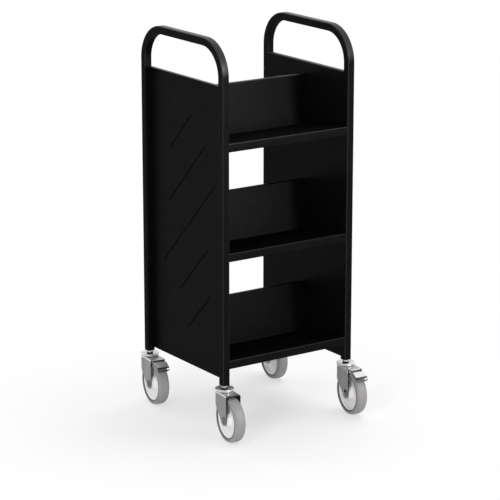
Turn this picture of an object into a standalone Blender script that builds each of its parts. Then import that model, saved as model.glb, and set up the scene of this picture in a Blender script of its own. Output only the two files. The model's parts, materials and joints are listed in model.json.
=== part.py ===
"""Book trolley: a welded steel frame with six sloping shelves on four swivel castors.

Metres, +Z up. The shelves run along X, books are taken from the -Y and +Y sides, and the
trolley stands on Z = 0 with the middle of its footprint over the origin.
"""

import math

import bmesh
import bpy
from mathutils import Matrix, Vector

# Fits
SEAT_GAP = 0.0003          # between pieces that rest on each other or are welded
TURN_GAP = 0.0003          # around a pin or shaft in its hole
WELD_DISTANCE = 0.000001   # points closer than this are one point
CUT_MARGIN = 0.003         # how far a cutting shape stands out of what it cuts

# Side frames: one bent square tube each
TUBE_SIDE = 0.022
TUBE_WALL = 0.0015
TUBE_CORNER = 0.003        # outer corner radius
FRAME_SPACING = 0.409      # between the middles of the left and right tubes
POST_SPACING = 0.3835      # between the middles of the front and rear posts
FRAME_HEIGHT = 0.941       # from the posts' lower ends to the top of the handle
HANDLE_BEND = 0.088        # radius at the middle of the tube
INSERT_LENGTH = 0.035

# Side panels
PANEL_SHEET = 0.0015
PANEL_FOLD = 0.002         # inner fold radius
PANEL_LIFT = 0.0083        # lower edge above the posts' ends
PANEL_HEIGHT = 0.8112
PANEL_FLANGE = 0.012       # outward flange along the top
LINE_WIDTH = 0.003
LINE_DEPTH = 0.0006
LINE_SLOPE = math.radians(45)
# Each diagonal line: middle towards the rear, middle above the lower edge, length
PANEL_LINES = (
    (0.0318, 0.6555, 0.153),
    (0.0009, 0.5435, 0.251),
    (-0.0054, 0.4022, 0.378),
    (-0.0258, 0.2749, 0.203),
    (-0.0535, 0.1624, 0.165),
)

# Shelves: one folded sheet each
SHELF_LEVELS = ("bottom", "middle", "top")
SHELF_PITCH = 0.300
SHELF_SHEET = 0.0012
SHELF_FOLD = 0.002
LOWEST_LIP = 0.0451        # lower edge of the lowest lip above the posts' ends
LIP_HEIGHT = 0.024
LIP_SETBACK = 0.0015       # behind the posts' front faces
FLOOR_SLOPE = math.radians(7)
RIDGE_RISE = 0.1407        # top of the back plate above the lip's lower edge
RIDGE_FLANGE = 0.0065

# Wheels
WHEEL_DIAMETER = 0.125
WHEEL_SIDES = 24
TYRE_WIDTH = 0.032
TYRE_DEPTH = 0.013
TREAD_FLAT = 0.019         # width of the flat part of the tread
TYRE_SHOULDER = 0.0028
RIM_WIDTH = 0.027
RIM_WALL = 0.004
WEB_THICKNESS = 0.012
HUB_RADIUS = 0.013
HUB_FOOT = 0.023           # radius where the hub's cone meets the web
HUB_SIDE_GAP = 0.0008
BUSH_WALL = 0.0028
AXLE_RADIUS = 0.004
AXLE_HEX = 0.013           # across flats
AXLE_HEAD = 0.0053
AXLE_NUT = 0.0065
AXLE_TAIL = 0.002          # bolt end past the nut

# Forks
TRAIL = 0.037              # axle in front of the stem
REST_SWIVEL = math.radians(-6.75)
FORK_SHEET = 0.0025
FORK_INSIDE = 0.040
FORK_FOLD = 0.004          # outer fold radius
LEG_END = 0.016            # radius of the leg round the axle
LEG_REAR = 0.011           # rear edge of the leg behind the stem
LEG_SHOULDER = 0.0345      # top of the leg's slanted edge above the axle
CROWN_REAR = 0.025         # rear edge of the crown behind the stem
CROWN_APRON = 0.006        # depth of the crown's side folds behind the legs

# Swivel heads
STEM_RADIUS = 0.0058
COLLAR_HEX = 0.016
COLLAR_HEIGHT = 0.011
STEM_SHORT = 0.002         # stem end below the insert's top
STEM_GAP = 0.0006          # round the stem in the fork's crown
KING_HEAD = 0.009          # radius of the king pin's head
KING_HEAD_HEIGHT = 0.005
RACE_RADIUS = 0.021        # circle of the balls
RACE_INNER = 0.0155
RACE_SHEET = 0.0015
RACE_HEIGHT = 0.003
RACE_WALL = 0.0013
GROOVE_TAPER = 0.0006
BALL_RADIUS = 0.00195
BALL_COUNT = 8
BALL_FLOOR_GAP = 0.00015
BALL_SIDE_GAP = 0.0004
CAGE_RADIUS = 0.0008
CUP_OVERHANG = 0.0009      # cup's rim past the lower race
DISH_DEPTH = 0.0038
DISH_FLOOR = 0.012         # radius of the dish's flat floor
DISH_BRIM = 0.0195         # radius where the dish starts to fall
DISH_FLARE = 0.0005        # how much wider the floor is above than below

# Brakes
BRAKED = ("rear_left", "front_right")
BRAKE_SHEET = 0.0015
PIN_RADIUS = 0.0015
PIN_FORWARD = 0.013        # pin in front of the axle
PIN_TAIL = 0.0015          # pin end past the fork
EYE_WALL = 0.0012
EYE_TO_TYRE = 0.0008
TONGUE_LENGTH = 0.0057     # crown's tongue in front of the legs
TONGUE_LIP = 0.004
TONGUE_STEP = 0.0002       # tongue's faces inside the crown's
PEDAL_SIDE_GAP = 0.0028
PEDAL_ARM = 0.013
ARM_WIDTH = 0.022
ARM_END = 0.016
TREAD_SETOUT = 0.0215      # tread's upper edge in front of the pin
TREAD_RISE = 0.0026        # and above it
TREAD_LENGTH = 0.021
TREAD_SLOPE = math.radians(30)
TREAD_RETURN = 0.0025
SHOE_SIDE_GAP = 0.005
EYE_GAP = 0.0004           # between the pedal's eye and the shoe's eyes
EYE_INSET = 0.0003
LEAF_FROM = math.radians(15.5)
LEAF_TO = math.radians(48)
LEAF_STEPS = 4
LEAF_GAP_FROM = 0.0009     # above the tyre
LEAF_GAP_TO = 0.0022
LEAF_REAR = 0.006          # leaf's rear edge in front of the pin
TOE_LENGTH = 0.020
TOE_SLOPE = math.radians(33)
TOE_WIDTH = 0.008
TOE_ROOT = 0.002

# Levels above the floor, from the wheel up
AXLE_Z = WHEEL_DIAMETER / 2
TYRE_REACH = AXLE_Z / math.cos(math.pi / WHEEL_SIDES)   # the tyre's flats lie on its true radius
EYE_RADIUS = PIN_RADIUS + TURN_GAP + EYE_WALL
PIN_Z = AXLE_Z + math.sqrt(TYRE_REACH**2 - PIN_FORWARD**2) + EYE_TO_TYRE + EYE_RADIUS
CROWN_Z = PIN_Z + EYE_RADIUS + SEAT_GAP                 # underside of the crown
RACE_Z = CROWN_Z + FORK_SHEET + SEAT_GAP
TROUGH_Z = RACE_Z + RACE_SHEET
BALL_Z = TROUGH_Z + BALL_FLOOR_GAP + BALL_RADIUS
CUP_ROOF_Z = BALL_Z + BALL_RADIUS + SEAT_GAP
CUP_TOP_Z = CUP_ROOF_Z + RACE_SHEET
DISH_Z = CUP_TOP_Z - DISH_DEPTH
COLLAR_Z = DISH_Z + SEAT_GAP
POST_Z = COLLAR_Z + COLLAR_HEIGHT + SEAT_GAP            # lower ends of the posts

# Widths that several pieces share
INNER_HALF = (FRAME_SPACING - TUBE_SIDE) / 2            # middle to the tubes' inner faces
FORK_HALF = FORK_INSIDE / 2 + FORK_SHEET
FORK_FRONT = TRAIL + LEG_END
PIN_Y = -(TRAIL + PIN_FORWARD)

# Straight sides that stand for a round
SMALL_SIDES = 12
ROUND_SIDES = 18
LEG_END_STEPS = 7
CROWN_REAR_STEPS = 8
LINE_END_STEPS = 4
HANDLE_BEND_STEPS = 6


def clear_scene():
    for old in list(bpy.data.objects):
        bpy.data.objects.remove(old, do_unlink=True)


def finish_material(name, colour, roughness, metallic):
    material = bpy.data.materials.new(name)
    material.use_nodes = True
    shader = material.node_tree.nodes["Principled BSDF"]
    shader.inputs["Base Color"].default_value = (*colour, 1.0)
    shader.inputs["Roughness"].default_value = roughness
    shader.inputs["Metallic"].default_value = metallic
    material.diffuse_color = (*colour, 1.0)
    return material


def make_materials():
    return {
        "powder_coat": finish_material("powder_coat", (0.008, 0.008, 0.009), 0.42, 0.0),
        "zinc": finish_material("zinc", (0.52, 0.53, 0.54), 0.32, 1.0),
        "bright_steel": finish_material("bright_steel", (0.66, 0.66, 0.66), 0.22, 1.0),
        "dark_steel": finish_material("dark_steel", (0.03, 0.03, 0.032), 0.4, 1.0),
        "nylon": finish_material("nylon", (0.02, 0.02, 0.02), 0.5, 0.0),
        "wheel_plastic": finish_material("wheel_plastic", (0.68, 0.67, 0.68), 0.38, 0.0),
        "grey_rubber": finish_material("grey_rubber", (0.29, 0.28, 0.285), 0.6, 0.0),
    }


def mesh_from(bm):
    """Closed mesh with its faces pointing out, round faces shaded smooth."""
    bmesh.ops.recalc_face_normals(bm, faces=bm.faces)
    mesh = bpy.data.meshes.new("piece")
    bm.to_mesh(mesh)
    bm.free()
    mesh.shade_smooth()
    mesh.set_sharp_from_angle(angle=math.radians(35))
    return mesh


def along(axis, p, q, distance):
    """Point of a flat outline (p, q) at a distance along the axis square to it."""
    if axis == "X":
        return Vector((distance, p, q))
    if axis == "Y":
        return Vector((p, distance, q))
    return Vector((p, q, distance))


def prism(outline, low, high, axis):
    """Solid with a flat outline, between two distances along an axis."""
    bm = bmesh.new()
    base = bm.faces.new([bm.verts.new(along(axis, p, q, low)) for p, q in outline])
    grown = bmesh.ops.extrude_face_region(bm, geom=[base])["geom"]
    far = [item for item in grown if isinstance(item, bmesh.types.BMVert)]
    bmesh.ops.translate(bm, verts=far, vec=along(axis, 0, 0, high - low))
    return mesh_from(bm)


def turned(profile, sides, axis):
    """Profile of (radius, distance) points carried round an axis, with a flat facing down or -Y.

    A profile that starts on the axis is a shaft, any other is a ring.
    """
    half_step = math.pi / sides
    cosine, sine = math.cos(half_step), math.sin(half_step)
    bm = bmesh.new()
    verts = [bm.verts.new(along(axis, radius * sine, -radius * cosine, d)) for radius, d in profile]
    pairs = list(zip(verts, verts[1:]))
    if profile[0][0] > 0:
        pairs.append((verts[-1], verts[0]))
    edges = [bm.edges.new(pair) for pair in pairs]
    bmesh.ops.spin(
        bm, geom=verts + edges, cent=(0, 0, 0), axis=along(axis, 0, 0, 1),
        angle=math.tau, steps=sides, use_merge=True,
    )
    bmesh.ops.remove_doubles(bm, verts=bm.verts, dist=WELD_DISTANCE)
    return mesh_from(bm)


def rod(radius, low, high, axis, sides=SMALL_SIDES, centre=(0, 0, 0)):
    mesh = turned([(0, low), (radius, low), (radius, high), (0, high)], sides, axis)
    mesh.transform(Matrix.Translation(centre))
    return mesh


def shaped(base, *steps):
    """Mesh after Boolean steps, each an operation and the mesh that it uses."""
    collection = bpy.context.scene.collection
    work = bpy.data.objects.new("work", base)
    collection.objects.link(work)
    tools = []
    for operation, mesh in steps:
        tool = bpy.data.objects.new("tool", mesh)
        collection.objects.link(tool)
        modifier = work.modifiers.new(operation, "BOOLEAN")
        modifier.operation = operation
        modifier.solver = "EXACT"
        modifier.object = tool
        tools.append(tool)
    result = bpy.data.meshes.new_from_object(work.evaluated_get(bpy.context.evaluated_depsgraph_get()))
    for used in (work, *tools):
        bpy.data.objects.remove(used, do_unlink=True)
    bm = bmesh.new()
    bm.from_mesh(result)
    bmesh.ops.remove_doubles(bm, verts=bm.verts, dist=WELD_DISTANCE)
    return mesh_from(bm)


def arc(centre, radius, start, end, steps):
    turn = (end - start) / steps
    angles = [start + turn * step for step in range(steps + 1)]
    return [(centre[0] + radius * math.cos(a), centre[1] + radius * math.sin(a)) for a in angles]


def rounded_square(side, corner, steps=2):
    inset = side / 2 - corner
    quarters = ((inset, inset, 0), (-inset, inset, 1), (-inset, -inset, 2), (inset, -inset, 3))
    outline = []
    for x, y, quarter in quarters:
        start = quarter * math.pi / 2
        outline += arc((x, y), corner, start, start + math.pi / 2, steps)
    return outline


def hexagon(across_flats):
    return arc((0, 0), across_flats / math.sqrt(3), 0, math.tau * 5 / 6, 5)


def box_outline(low_p, high_p, low_q, high_q):
    return [(low_p, low_q), (high_p, low_q), (high_p, high_q), (low_p, high_q)]


def sheet_outline(path, sheet, fold, steps=3):
    """Both faces of a folded sheet: a path at mid-thickness, with rounded folds."""
    gentle = math.radians(12)   # a smaller turn is a plain mitre
    points = [Vector(point) for point in path]
    runs = [(b - a).normalized() for a, b in zip(points, points[1:])]
    radius = fold + sheet / 2
    stations = [(points[0], runs[0], 1.0)]
    for corner, into, out in zip(points[1:-1], runs, runs[1:]):
        turn = math.atan2(into.cross(out), into.dot(out))
        if abs(turn) < gentle:
            stations.append((corner, (into + out).normalized(), 1 / math.cos(turn / 2)))
            continue
        side = math.copysign(radius, turn)
        start = corner - into * radius * math.tan(abs(turn) / 2)
        centre = start + side * Vector((-into.y, into.x))
        for step in range(steps + 1):
            heading = Matrix.Rotation(turn * step / steps, 2) @ into
            stations.append((centre - side * Vector((-heading.y, heading.x)), heading, 1.0))
    stations.append((points[-1], runs[-1], 1.0))
    faces = ([], [])
    for point, heading, stretch in stations:
        offset = Vector((-heading.y, heading.x)) * stretch * sheet / 2
        faces[0].append(tuple(point + offset))
        faces[1].append(tuple(point - offset))
    return faces[0] + faces[1][::-1]


def tube_mesh():
    """Square tube bent to an upside-down U in the YZ plane, open at both lower ends."""
    half_span = POST_SPACING / 2
    crest = POST_Z + FRAME_HEIGHT - TUBE_SIDE / 2
    bend_y, bend_z = half_span - HANDLE_BEND, crest - HANDLE_BEND
    stations = [((-half_span, POST_Z), math.pi)]
    for side, start in ((-bend_y, math.pi), (bend_y, math.pi / 2)):
        for step in range(HANDLE_BEND_STEPS + 1):
            angle = start - math.pi / 2 * step / HANDLE_BEND_STEPS
            out = (side + HANDLE_BEND * math.cos(angle), bend_z + HANDLE_BEND * math.sin(angle))
            stations.append((out, angle))
    stations.append(((half_span, POST_Z), 0.0))
    walls = (
        rounded_square(TUBE_SIDE, TUBE_CORNER),
        rounded_square(TUBE_SIDE - 2 * TUBE_WALL, TUBE_CORNER - TUBE_WALL),
    )
    bm = bmesh.new()
    ends = []
    for outline in walls:
        rings = []
        for (y, z), angle in stations:
            outward_y, outward_z = math.cos(angle), math.sin(angle)
            ring = [bm.verts.new((p, y + q * outward_y, z + q * outward_z)) for p, q in outline]
            rings.append(ring)
        for near, far in zip(rings, rings[1:]):
            for k in range(len(outline)):
                bm.faces.new((near[k - 1], near[k], far[k], far[k - 1]))
        ends.append((rings[0], rings[-1]))
    for outer, inner in zip(*ends):
        for k in range(len(outer)):
            bm.faces.new((outer[k - 1], outer[k], inner[k], inner[k - 1]))
    return mesh_from(bm)


def line_outline(middle_y, middle_z, length):
    """Round-ended strip that climbs towards the front."""
    reach = Vector((-math.cos(LINE_SLOPE), math.sin(LINE_SLOPE))) * (length - LINE_WIDTH) / 2
    middle = Vector((middle_y, middle_z))
    upper_start = math.pi / 2 - LINE_SLOPE
    lower_start, end = upper_start + math.pi, upper_start + math.tau
    upper = arc(middle + reach, LINE_WIDTH / 2, upper_start, lower_start, LINE_END_STEPS)
    lower = arc(middle - reach, LINE_WIDTH / 2, lower_start, end, LINE_END_STEPS)
    return upper + lower


def panel_mesh():
    """Left panel: sheet flush with the posts' inner faces, its top folded outward."""
    bottom = POST_Z + PANEL_LIFT
    top = bottom + PANEL_HEIGHT - PANEL_SHEET / 2
    middle = -(INNER_HALF + PANEL_SHEET / 2)
    outer = -(INNER_HALF + PANEL_SHEET)
    half_length = (POST_SPACING - TUBE_SIDE) / 2 - SEAT_GAP
    path = [(middle, bottom), (middle, top), (-(INNER_HALF + PANEL_FLANGE), top)]
    blank = prism(sheet_outline(path, PANEL_SHEET, PANEL_FOLD), -half_length, half_length, "Y")
    cuts = []
    for middle_y, height, length in PANEL_LINES:
        outline = line_outline(middle_y, bottom + height, length)
        cuts.append(("DIFFERENCE", prism(outline, outer - CUT_MARGIN, outer + LINE_DEPTH, "X")))
    return shaped(blank, *cuts)


def shelf_mesh():
    """Front shelf with its lip's lower edge at Z = 0: lip, floor, back plate and ridge flange."""
    front = -((POST_SPACING + TUBE_SIDE) / 2 - LIP_SETBACK) + SHELF_SHEET / 2
    lip_top = Vector((front, LIP_HEIGHT - SHELF_SHEET / 2))
    back_top = Vector((-RIDGE_FLANGE, RIDGE_RISE - SHELF_SHEET / 2))
    down_slope = Vector((math.cos(FLOOR_SLOPE), -math.sin(FLOOR_SLOPE)))
    crease = lip_top + down_slope * (back_top - lip_top).dot(down_slope)
    path = [(front, 0), lip_top, crease, back_top, (-SEAT_GAP / 2, back_top.y)]
    half_length = INNER_HALF - SEAT_GAP
    return prism(sheet_outline(path, SHELF_SHEET, SHELF_FOLD), -half_length, half_length, "X")


def insert_mesh():
    """Plug in a post's lower end, bored for the stem."""
    side = TUBE_SIDE - 2 * (TUBE_WALL + SEAT_GAP)
    plug = prism(rounded_square(side, TUBE_CORNER - TUBE_WALL), POST_Z, POST_Z + INSERT_LENGTH, "Z")
    bore = rod(STEM_RADIUS + TURN_GAP, POST_Z - CUT_MARGIN, POST_Z + INSERT_LENGTH + CUT_MARGIN, "Z")
    return shaped(plug, ("DIFFERENCE", bore))


def stem_mesh():
    """Stem with a hexagon collar under the post, and the king pin's head under the crown."""
    head_top = CROWN_Z - SEAT_GAP
    head_bottom = head_top - KING_HEAD_HEIGHT
    top = POST_Z + INSERT_LENGTH - STEM_SHORT
    profile = [
        (0, head_bottom), (KING_HEAD, head_bottom), (KING_HEAD, head_top),
        (STEM_RADIUS, head_top), (STEM_RADIUS, top), (0, top),
    ]
    collar = prism(hexagon(COLLAR_HEX), COLLAR_Z, COLLAR_Z + COLLAR_HEIGHT, "Z")
    return shaped(collar, ("UNION", turned(profile, SMALL_SIDES, "Z")))


def cup_mesh():
    """Dished upper race: a hump over the balls round a sunk floor."""
    groove = BALL_RADIUS + BALL_SIDE_GAP
    skirt_z = RACE_Z + RACE_HEIGHT + BALL_SIDE_GAP
    skirt_inner = RACE_RADIUS + groove
    rim = skirt_inner + RACE_WALL + CUP_OVERHANG
    bore = STEM_RADIUS + SEAT_GAP
    return turned([
        (bore, DISH_Z), (DISH_FLOOR, DISH_Z), (DISH_BRIM, CUP_TOP_Z),
        (rim, CUP_TOP_Z), (rim, skirt_z),
        (skirt_inner, skirt_z), (skirt_inner, CUP_ROOF_Z), (DISH_BRIM - RACE_SHEET, CUP_ROOF_Z),
        (DISH_FLOOR - DISH_FLARE, DISH_Z - RACE_SHEET), (bore, DISH_Z - RACE_SHEET),
    ], ROUND_SIDES, "Z")


def race_mesh():
    """Lower race: a ring with a groove for the balls."""
    groove = BALL_RADIUS + BALL_SIDE_GAP
    outer, inner = RACE_RADIUS + groove, RACE_RADIUS - groove
    top = RACE_Z + RACE_HEIGHT
    return turned([
        (RACE_INNER, RACE_Z), (outer + RACE_WALL, RACE_Z), (outer + RACE_WALL, top), (outer, top),
        (outer - GROOVE_TAPER, TROUGH_Z), (inner + GROOVE_TAPER, TROUGH_Z), (inner, top),
        (RACE_INNER, top),
    ], ROUND_SIDES, "Z")


def ball_ring_mesh():
    """Balls threaded on a thin cage ring: a ring whose thickness swells at each ball."""
    pitch = math.tau / BALL_COUNT
    shoulder = 0.7   # share of a ball's radius where its side is cut
    side_angle = shoulder * BALL_RADIUS / RACE_RADIUS
    side_radius = BALL_RADIUS * math.sqrt(1 - shoulder**2)
    swell = (
        (-side_angle, side_radius), (0, BALL_RADIUS), (side_angle, side_radius),
        (pitch / 2, CAGE_RADIUS),
    )
    section_sides = 5
    last_point = math.tau * (1 - 1 / section_sides)
    bm = bmesh.new()
    rings = []
    for ball in range(BALL_COUNT):
        for offset, radius in swell:
            angle = ball * pitch + offset
            ring = []
            for r, z in arc((RACE_RADIUS, BALL_Z), radius, 0, last_point, section_sides - 1):
                ring.append(bm.verts.new((r * math.cos(angle), r * math.sin(angle), z)))
            rings.append(ring)
    for near, far in zip(rings, rings[1:] + rings[:1]):
        for k in range(section_sides):
            bm.faces.new((near[k - 1], near[k], far[k], far[k - 1]))
    return mesh_from(bm)


def fork_side_outline():
    """Fork from the side, as (y, z): legs that narrow to a round end at the axle."""
    axle = (-TRAIL, AXLE_Z)
    shoulder = (LEG_REAR, AXLE_Z + LEG_SHOULDER)
    reach = math.hypot(shoulder[0] - axle[0], shoulder[1] - axle[1])
    bearing = math.atan2(shoulder[1] - axle[1], shoulder[0] - axle[0])
    tangent = bearing - math.acos(LEG_END / reach)
    apron = CROWN_Z + FORK_SHEET - CROWN_APRON
    top = CROWN_Z + FORK_SHEET + CUT_MARGIN
    rear = CROWN_REAR + CUT_MARGIN
    round_end = arc(axle, LEG_END, -math.pi, tangent, LEG_END_STEPS)
    return [(-FORK_FRONT, top), *round_end, shoulder, (LEG_REAR, apron), (rear, apron), (rear, top)]


def fork_plan_outline():
    """Fork from above, as (x, y): straight sides and a rounded rear edge."""
    half = FORK_HALF + CUT_MARGIN
    front = -(FORK_FRONT + CUT_MARGIN)
    bulge = CROWN_REAR - LEG_REAR
    half_circle = arc((0, 0), 1, 0, math.pi, CROWN_REAR_STEPS)
    rear = [(half * p, LEG_REAR + bulge * q) for p, q in half_circle]
    return [(half, front), *rear, (-half, front)]


def channel_outline():
    """Section of the fork's channel, as (x, z): an upside-down U with round folds."""
    low = AXLE_Z - LEG_END - CUT_MARGIN
    half = FORK_INSIDE / 2 + FORK_SHEET / 2
    top = CROWN_Z + FORK_SHEET / 2
    path = [(-half, low), (-half, top), (half, top), (half, low)]
    return sheet_outline(path, FORK_SHEET, FORK_FOLD - FORK_SHEET)


def fork_mesh(braked):
    """Folded fork; a braked one has a lipped tongue in front of its crown and holes for the pin."""
    reach = FORK_HALF + CUT_MARGIN
    channel = prism(channel_outline(), -(FORK_FRONT + CUT_MARGIN), CROWN_REAR + CUT_MARGIN, "Y")
    crown_low, crown_high = CROWN_Z - CUT_MARGIN, CROWN_Z + FORK_SHEET + CUT_MARGIN
    stem_hole = rod(STEM_RADIUS + STEM_GAP, crown_low, crown_high, "Z")
    axle_hole = rod(AXLE_RADIUS + TURN_GAP, -reach, reach, "X", centre=(0, -TRAIL, AXLE_Z))
    steps = [
        ("INTERSECT", prism(fork_side_outline(), -reach, reach, "X")),
        ("INTERSECT", prism(fork_plan_outline(), AXLE_Z - LEG_END - CUT_MARGIN, crown_high, "Z")),
        ("DIFFERENCE", stem_hole),
        ("DIFFERENCE", axle_hole),
    ]
    if braked:
        level = CROWN_Z + FORK_SHEET / 2
        tongue_sheet = FORK_SHEET - 2 * TONGUE_STEP
        tip = -(FORK_FRONT + TONGUE_LENGTH - tongue_sheet / 2)
        lip = CROWN_Z + FORK_SHEET - TONGUE_LIP
        path = [(-(FORK_FRONT - FORK_SHEET), level), (tip, level), (tip, lip)]
        half = FORK_INSIDE / 2 - PEDAL_SIDE_GAP
        tongue = prism(sheet_outline(path, tongue_sheet, TONGUE_STEP), -half, half, "X")
        pin_hole = rod(PIN_RADIUS + TURN_GAP, -reach, reach, "X", centre=(0, PIN_Y, PIN_Z))
        steps += [("UNION", tongue), ("DIFFERENCE", pin_hole)]
    return shaped(channel, *steps)


def axle_bolt_mesh():
    """Hexagon bolt along X, with its head on the left leg."""
    seat = FORK_HALF + SEAT_GAP
    head = prism(hexagon(AXLE_HEX), -(seat + AXLE_HEAD), -seat, "X")
    shank = rod(AXLE_RADIUS, -(seat + AXLE_HEAD / 2), seat + AXLE_NUT + AXLE_TAIL, "X")
    return shaped(head, ("UNION", shank))


def axle_nut_mesh():
    seat = FORK_HALF + SEAT_GAP
    bore = rod(AXLE_RADIUS + TURN_GAP, seat - CUT_MARGIN, seat + AXLE_NUT + CUT_MARGIN, "X")
    return shaped(prism(hexagon(AXLE_HEX), seat, seat + AXLE_NUT, "X"), ("DIFFERENCE", bore))


def bush_mesh():
    half = FORK_INSIDE / 2 - TURN_GAP
    inner = AXLE_RADIUS + TURN_GAP
    outer = inner + BUSH_WALL
    return turned([(inner, -half), (outer, -half), (outer, half), (inner, half)], SMALL_SIDES, "X")


def mirrored_ring(half_profile, sides):
    """Ring whose profile of (radius, distance) points repeats on the other side of its middle."""
    other = [(radius, -distance) for radius, distance in reversed(half_profile)]
    return turned(half_profile + other, sides, "X")


def rim_mesh():
    """Wheel centre: conical hub, web, and the rim that holds the tyre."""
    bore = AXLE_RADIUS + TURN_GAP + BUSH_WALL + SEAT_GAP
    hub = FORK_INSIDE / 2 - HUB_SIDE_GAP
    seat = AXLE_Z - TYRE_DEPTH - SEAT_GAP
    web = WEB_THICKNESS / 2
    return mirrored_ring([
        (bore, hub), (HUB_RADIUS, hub), (HUB_FOOT, web),
        (seat - RIM_WALL, web), (seat - RIM_WALL / 2, RIM_WIDTH / 2), (seat, RIM_WIDTH / 2),
    ], WHEEL_SIDES)


def tyre_mesh():
    """Tyre with a flat tread and rounded shoulders."""
    half = TYRE_WIDTH / 2
    seat = AXLE_Z - TYRE_DEPTH
    flat = TREAD_FLAT / 2
    return mirrored_ring([
        (seat, RIM_WIDTH / 2), (seat + TYRE_SHOULDER, half), (TYRE_REACH - TYRE_SHOULDER, half),
        (TYRE_REACH, flat),
    ], WHEEL_SIDES)


def brake_pin_mesh():
    reach = FORK_HALF + PIN_TAIL
    return rod(PIN_RADIUS, -reach, reach, "X")


def pedal_mesh():
    """Pedal about its pin: eye, narrow arm, and a wide tread that slopes down to the front."""
    half = FORK_INSIDE / 2 - PEDAL_SIDE_GAP
    arm = ARM_WIDTH / 2
    down_slope = Vector((-math.cos(TREAD_SLOPE), -math.sin(TREAD_SLOPE)))
    upper = Vector((-TREAD_SETOUT, TREAD_RISE))
    front = upper + down_slope * TREAD_LENGTH
    fold_down = front - Vector((0, TREAD_RETURN))
    path = [(0, 0), (-PEDAL_ARM, 0), upper, front, fold_down]
    plate = prism(sheet_outline(path, BRAKE_SHEET, BRAKE_SHEET / 2, 2), -half, half, "X")
    side_gap = box_outline(-ARM_END, EYE_RADIUS, -EYE_RADIUS, EYE_RADIUS)
    hole = rod(PIN_RADIUS + TURN_GAP, -half, half, "X")
    return shaped(
        plate,
        ("DIFFERENCE", prism(side_gap, arm, half + CUT_MARGIN, "X")),
        ("DIFFERENCE", prism(side_gap, -half - CUT_MARGIN, -arm, "X")),
        ("UNION", rod(EYE_RADIUS, -arm + EYE_INSET, arm - EYE_INSET, "X")),
        ("DIFFERENCE", hole),
    )


def leaf_path():
    """Shoe's leaf about the pin, as (y, z): it follows the tyre at a widening gap."""
    path = [(0, BRAKE_SHEET / 2 - EYE_RADIUS)]
    for step in range(LEAF_STEPS + 1):
        share = step / LEAF_STEPS
        angle = LEAF_FROM + (LEAF_TO - LEAF_FROM) * share
        gap = LEAF_GAP_FROM + (LEAF_GAP_TO - LEAF_GAP_FROM) * share
        radius = TYRE_REACH + gap + BRAKE_SHEET / 2
        forward, up = radius * math.sin(angle), AXLE_Z + radius * math.cos(angle)
        path.append((PIN_FORWARD - forward, up - PIN_Z))
    end_y, end_z = path[-1]
    path.append((end_y - TOE_LENGTH * math.cos(TOE_SLOPE), end_z + TOE_LENGTH * math.sin(TOE_SLOPE)))
    return path


def shoe_mesh():
    """Brake shoe about the pin: two eyes, a leaf over the tyre and a narrow toe at its right end."""
    half = FORK_INSIDE / 2 - SHOE_SIDE_GAP
    gap = ARM_WIDTH / 2 + EYE_GAP
    path = leaf_path()
    leaf_end = path[-2][0]
    lowest, highest = path[-2][1] - CUT_MARGIN, path[-1][1] + CUT_MARGIN
    leaf = prism(sheet_outline(path, BRAKE_SHEET, BRAKE_SHEET, 2), -half, half, "X")
    middle_gap = box_outline(-LEAF_REAR, EYE_RADIUS + CUT_MARGIN, -2 * EYE_RADIUS, EYE_RADIUS)
    beside_toe = box_outline(leaf_end - TOE_LENGTH, leaf_end - TOE_ROOT, lowest, highest)
    eye_from, eye_to = gap + EYE_INSET, half - EYE_INSET
    return shaped(
        leaf,
        ("DIFFERENCE", prism(middle_gap, -gap, gap, "X")),
        ("DIFFERENCE", prism(beside_toe, -half - CUT_MARGIN, half - TOE_WIDTH, "X")),
        ("UNION", rod(EYE_RADIUS, -eye_to, -eye_from, "X")),
        ("UNION", rod(EYE_RADIUS, eye_from, eye_to, "X")),
        ("DIFFERENCE", rod(PIN_RADIUS + TURN_GAP, -half - CUT_MARGIN, half + CUT_MARGIN, "X")),
    )


def empty(name, location=(0, 0, 0), turn=0.0, parent=None):
    """Guide on a joint's axis that carries the pieces of one moving body."""
    guide = bpy.data.objects.new(name, None)
    guide.location = location
    guide.rotation_euler.z = turn
    guide.parent = parent
    bpy.context.scene.collection.objects.link(guide)
    return guide


def piece(name, mesh, material, parent, location=(0, 0, 0), turn=0.0):
    """One named sub-part; copies share the mesh."""
    if not mesh.materials:
        mesh.materials.append(material)
    part = bpy.data.objects.new(name, mesh)
    part.location = location
    part.rotation_euler.z = turn
    part.parent = parent
    bpy.context.scene.collection.objects.link(part)
    return part


def build_body(trolley, materials):
    coat = materials["powder_coat"]
    tube, panel, shelf = tube_mesh(), panel_mesh(), shelf_mesh()
    for side, sign, turn in (("left", -1, 0), ("right", 1, math.pi)):
        piece(f"side_tube_{side}", tube, coat, trolley, (sign * FRAME_SPACING / 2, 0, 0))
        piece(f"side_panel_{side}", panel, coat, trolley, turn=turn)
    for face, turn in (("front", 0), ("rear", math.pi)):
        for level, name in enumerate(SHELF_LEVELS):
            height = POST_Z + LOWEST_LIP + level * SHELF_PITCH
            piece(f"shelf_{face}_{name}", shelf, coat, trolley, (0, 0, height), turn)


def castor_meshes():
    return {
        "leg_insert": insert_mesh(),
        "castor_stem": stem_mesh(),
        "swivel_cup": cup_mesh(),
        "ball_ring": ball_ring_mesh(),
        "lower_race": race_mesh(),
        "plain_fork": fork_mesh(braked=False),
        "braked_fork": fork_mesh(braked=True),
        "axle_bolt": axle_bolt_mesh(),
        "axle_nut": axle_nut_mesh(),
        "wheel_bush": bush_mesh(),
        "wheel_rim": rim_mesh(),
        "tyre": tyre_mesh(),
        "brake_pin": brake_pin_mesh(),
        "brake_pedal": pedal_mesh(),
        "brake_shoe": shoe_mesh(),
    }


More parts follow.
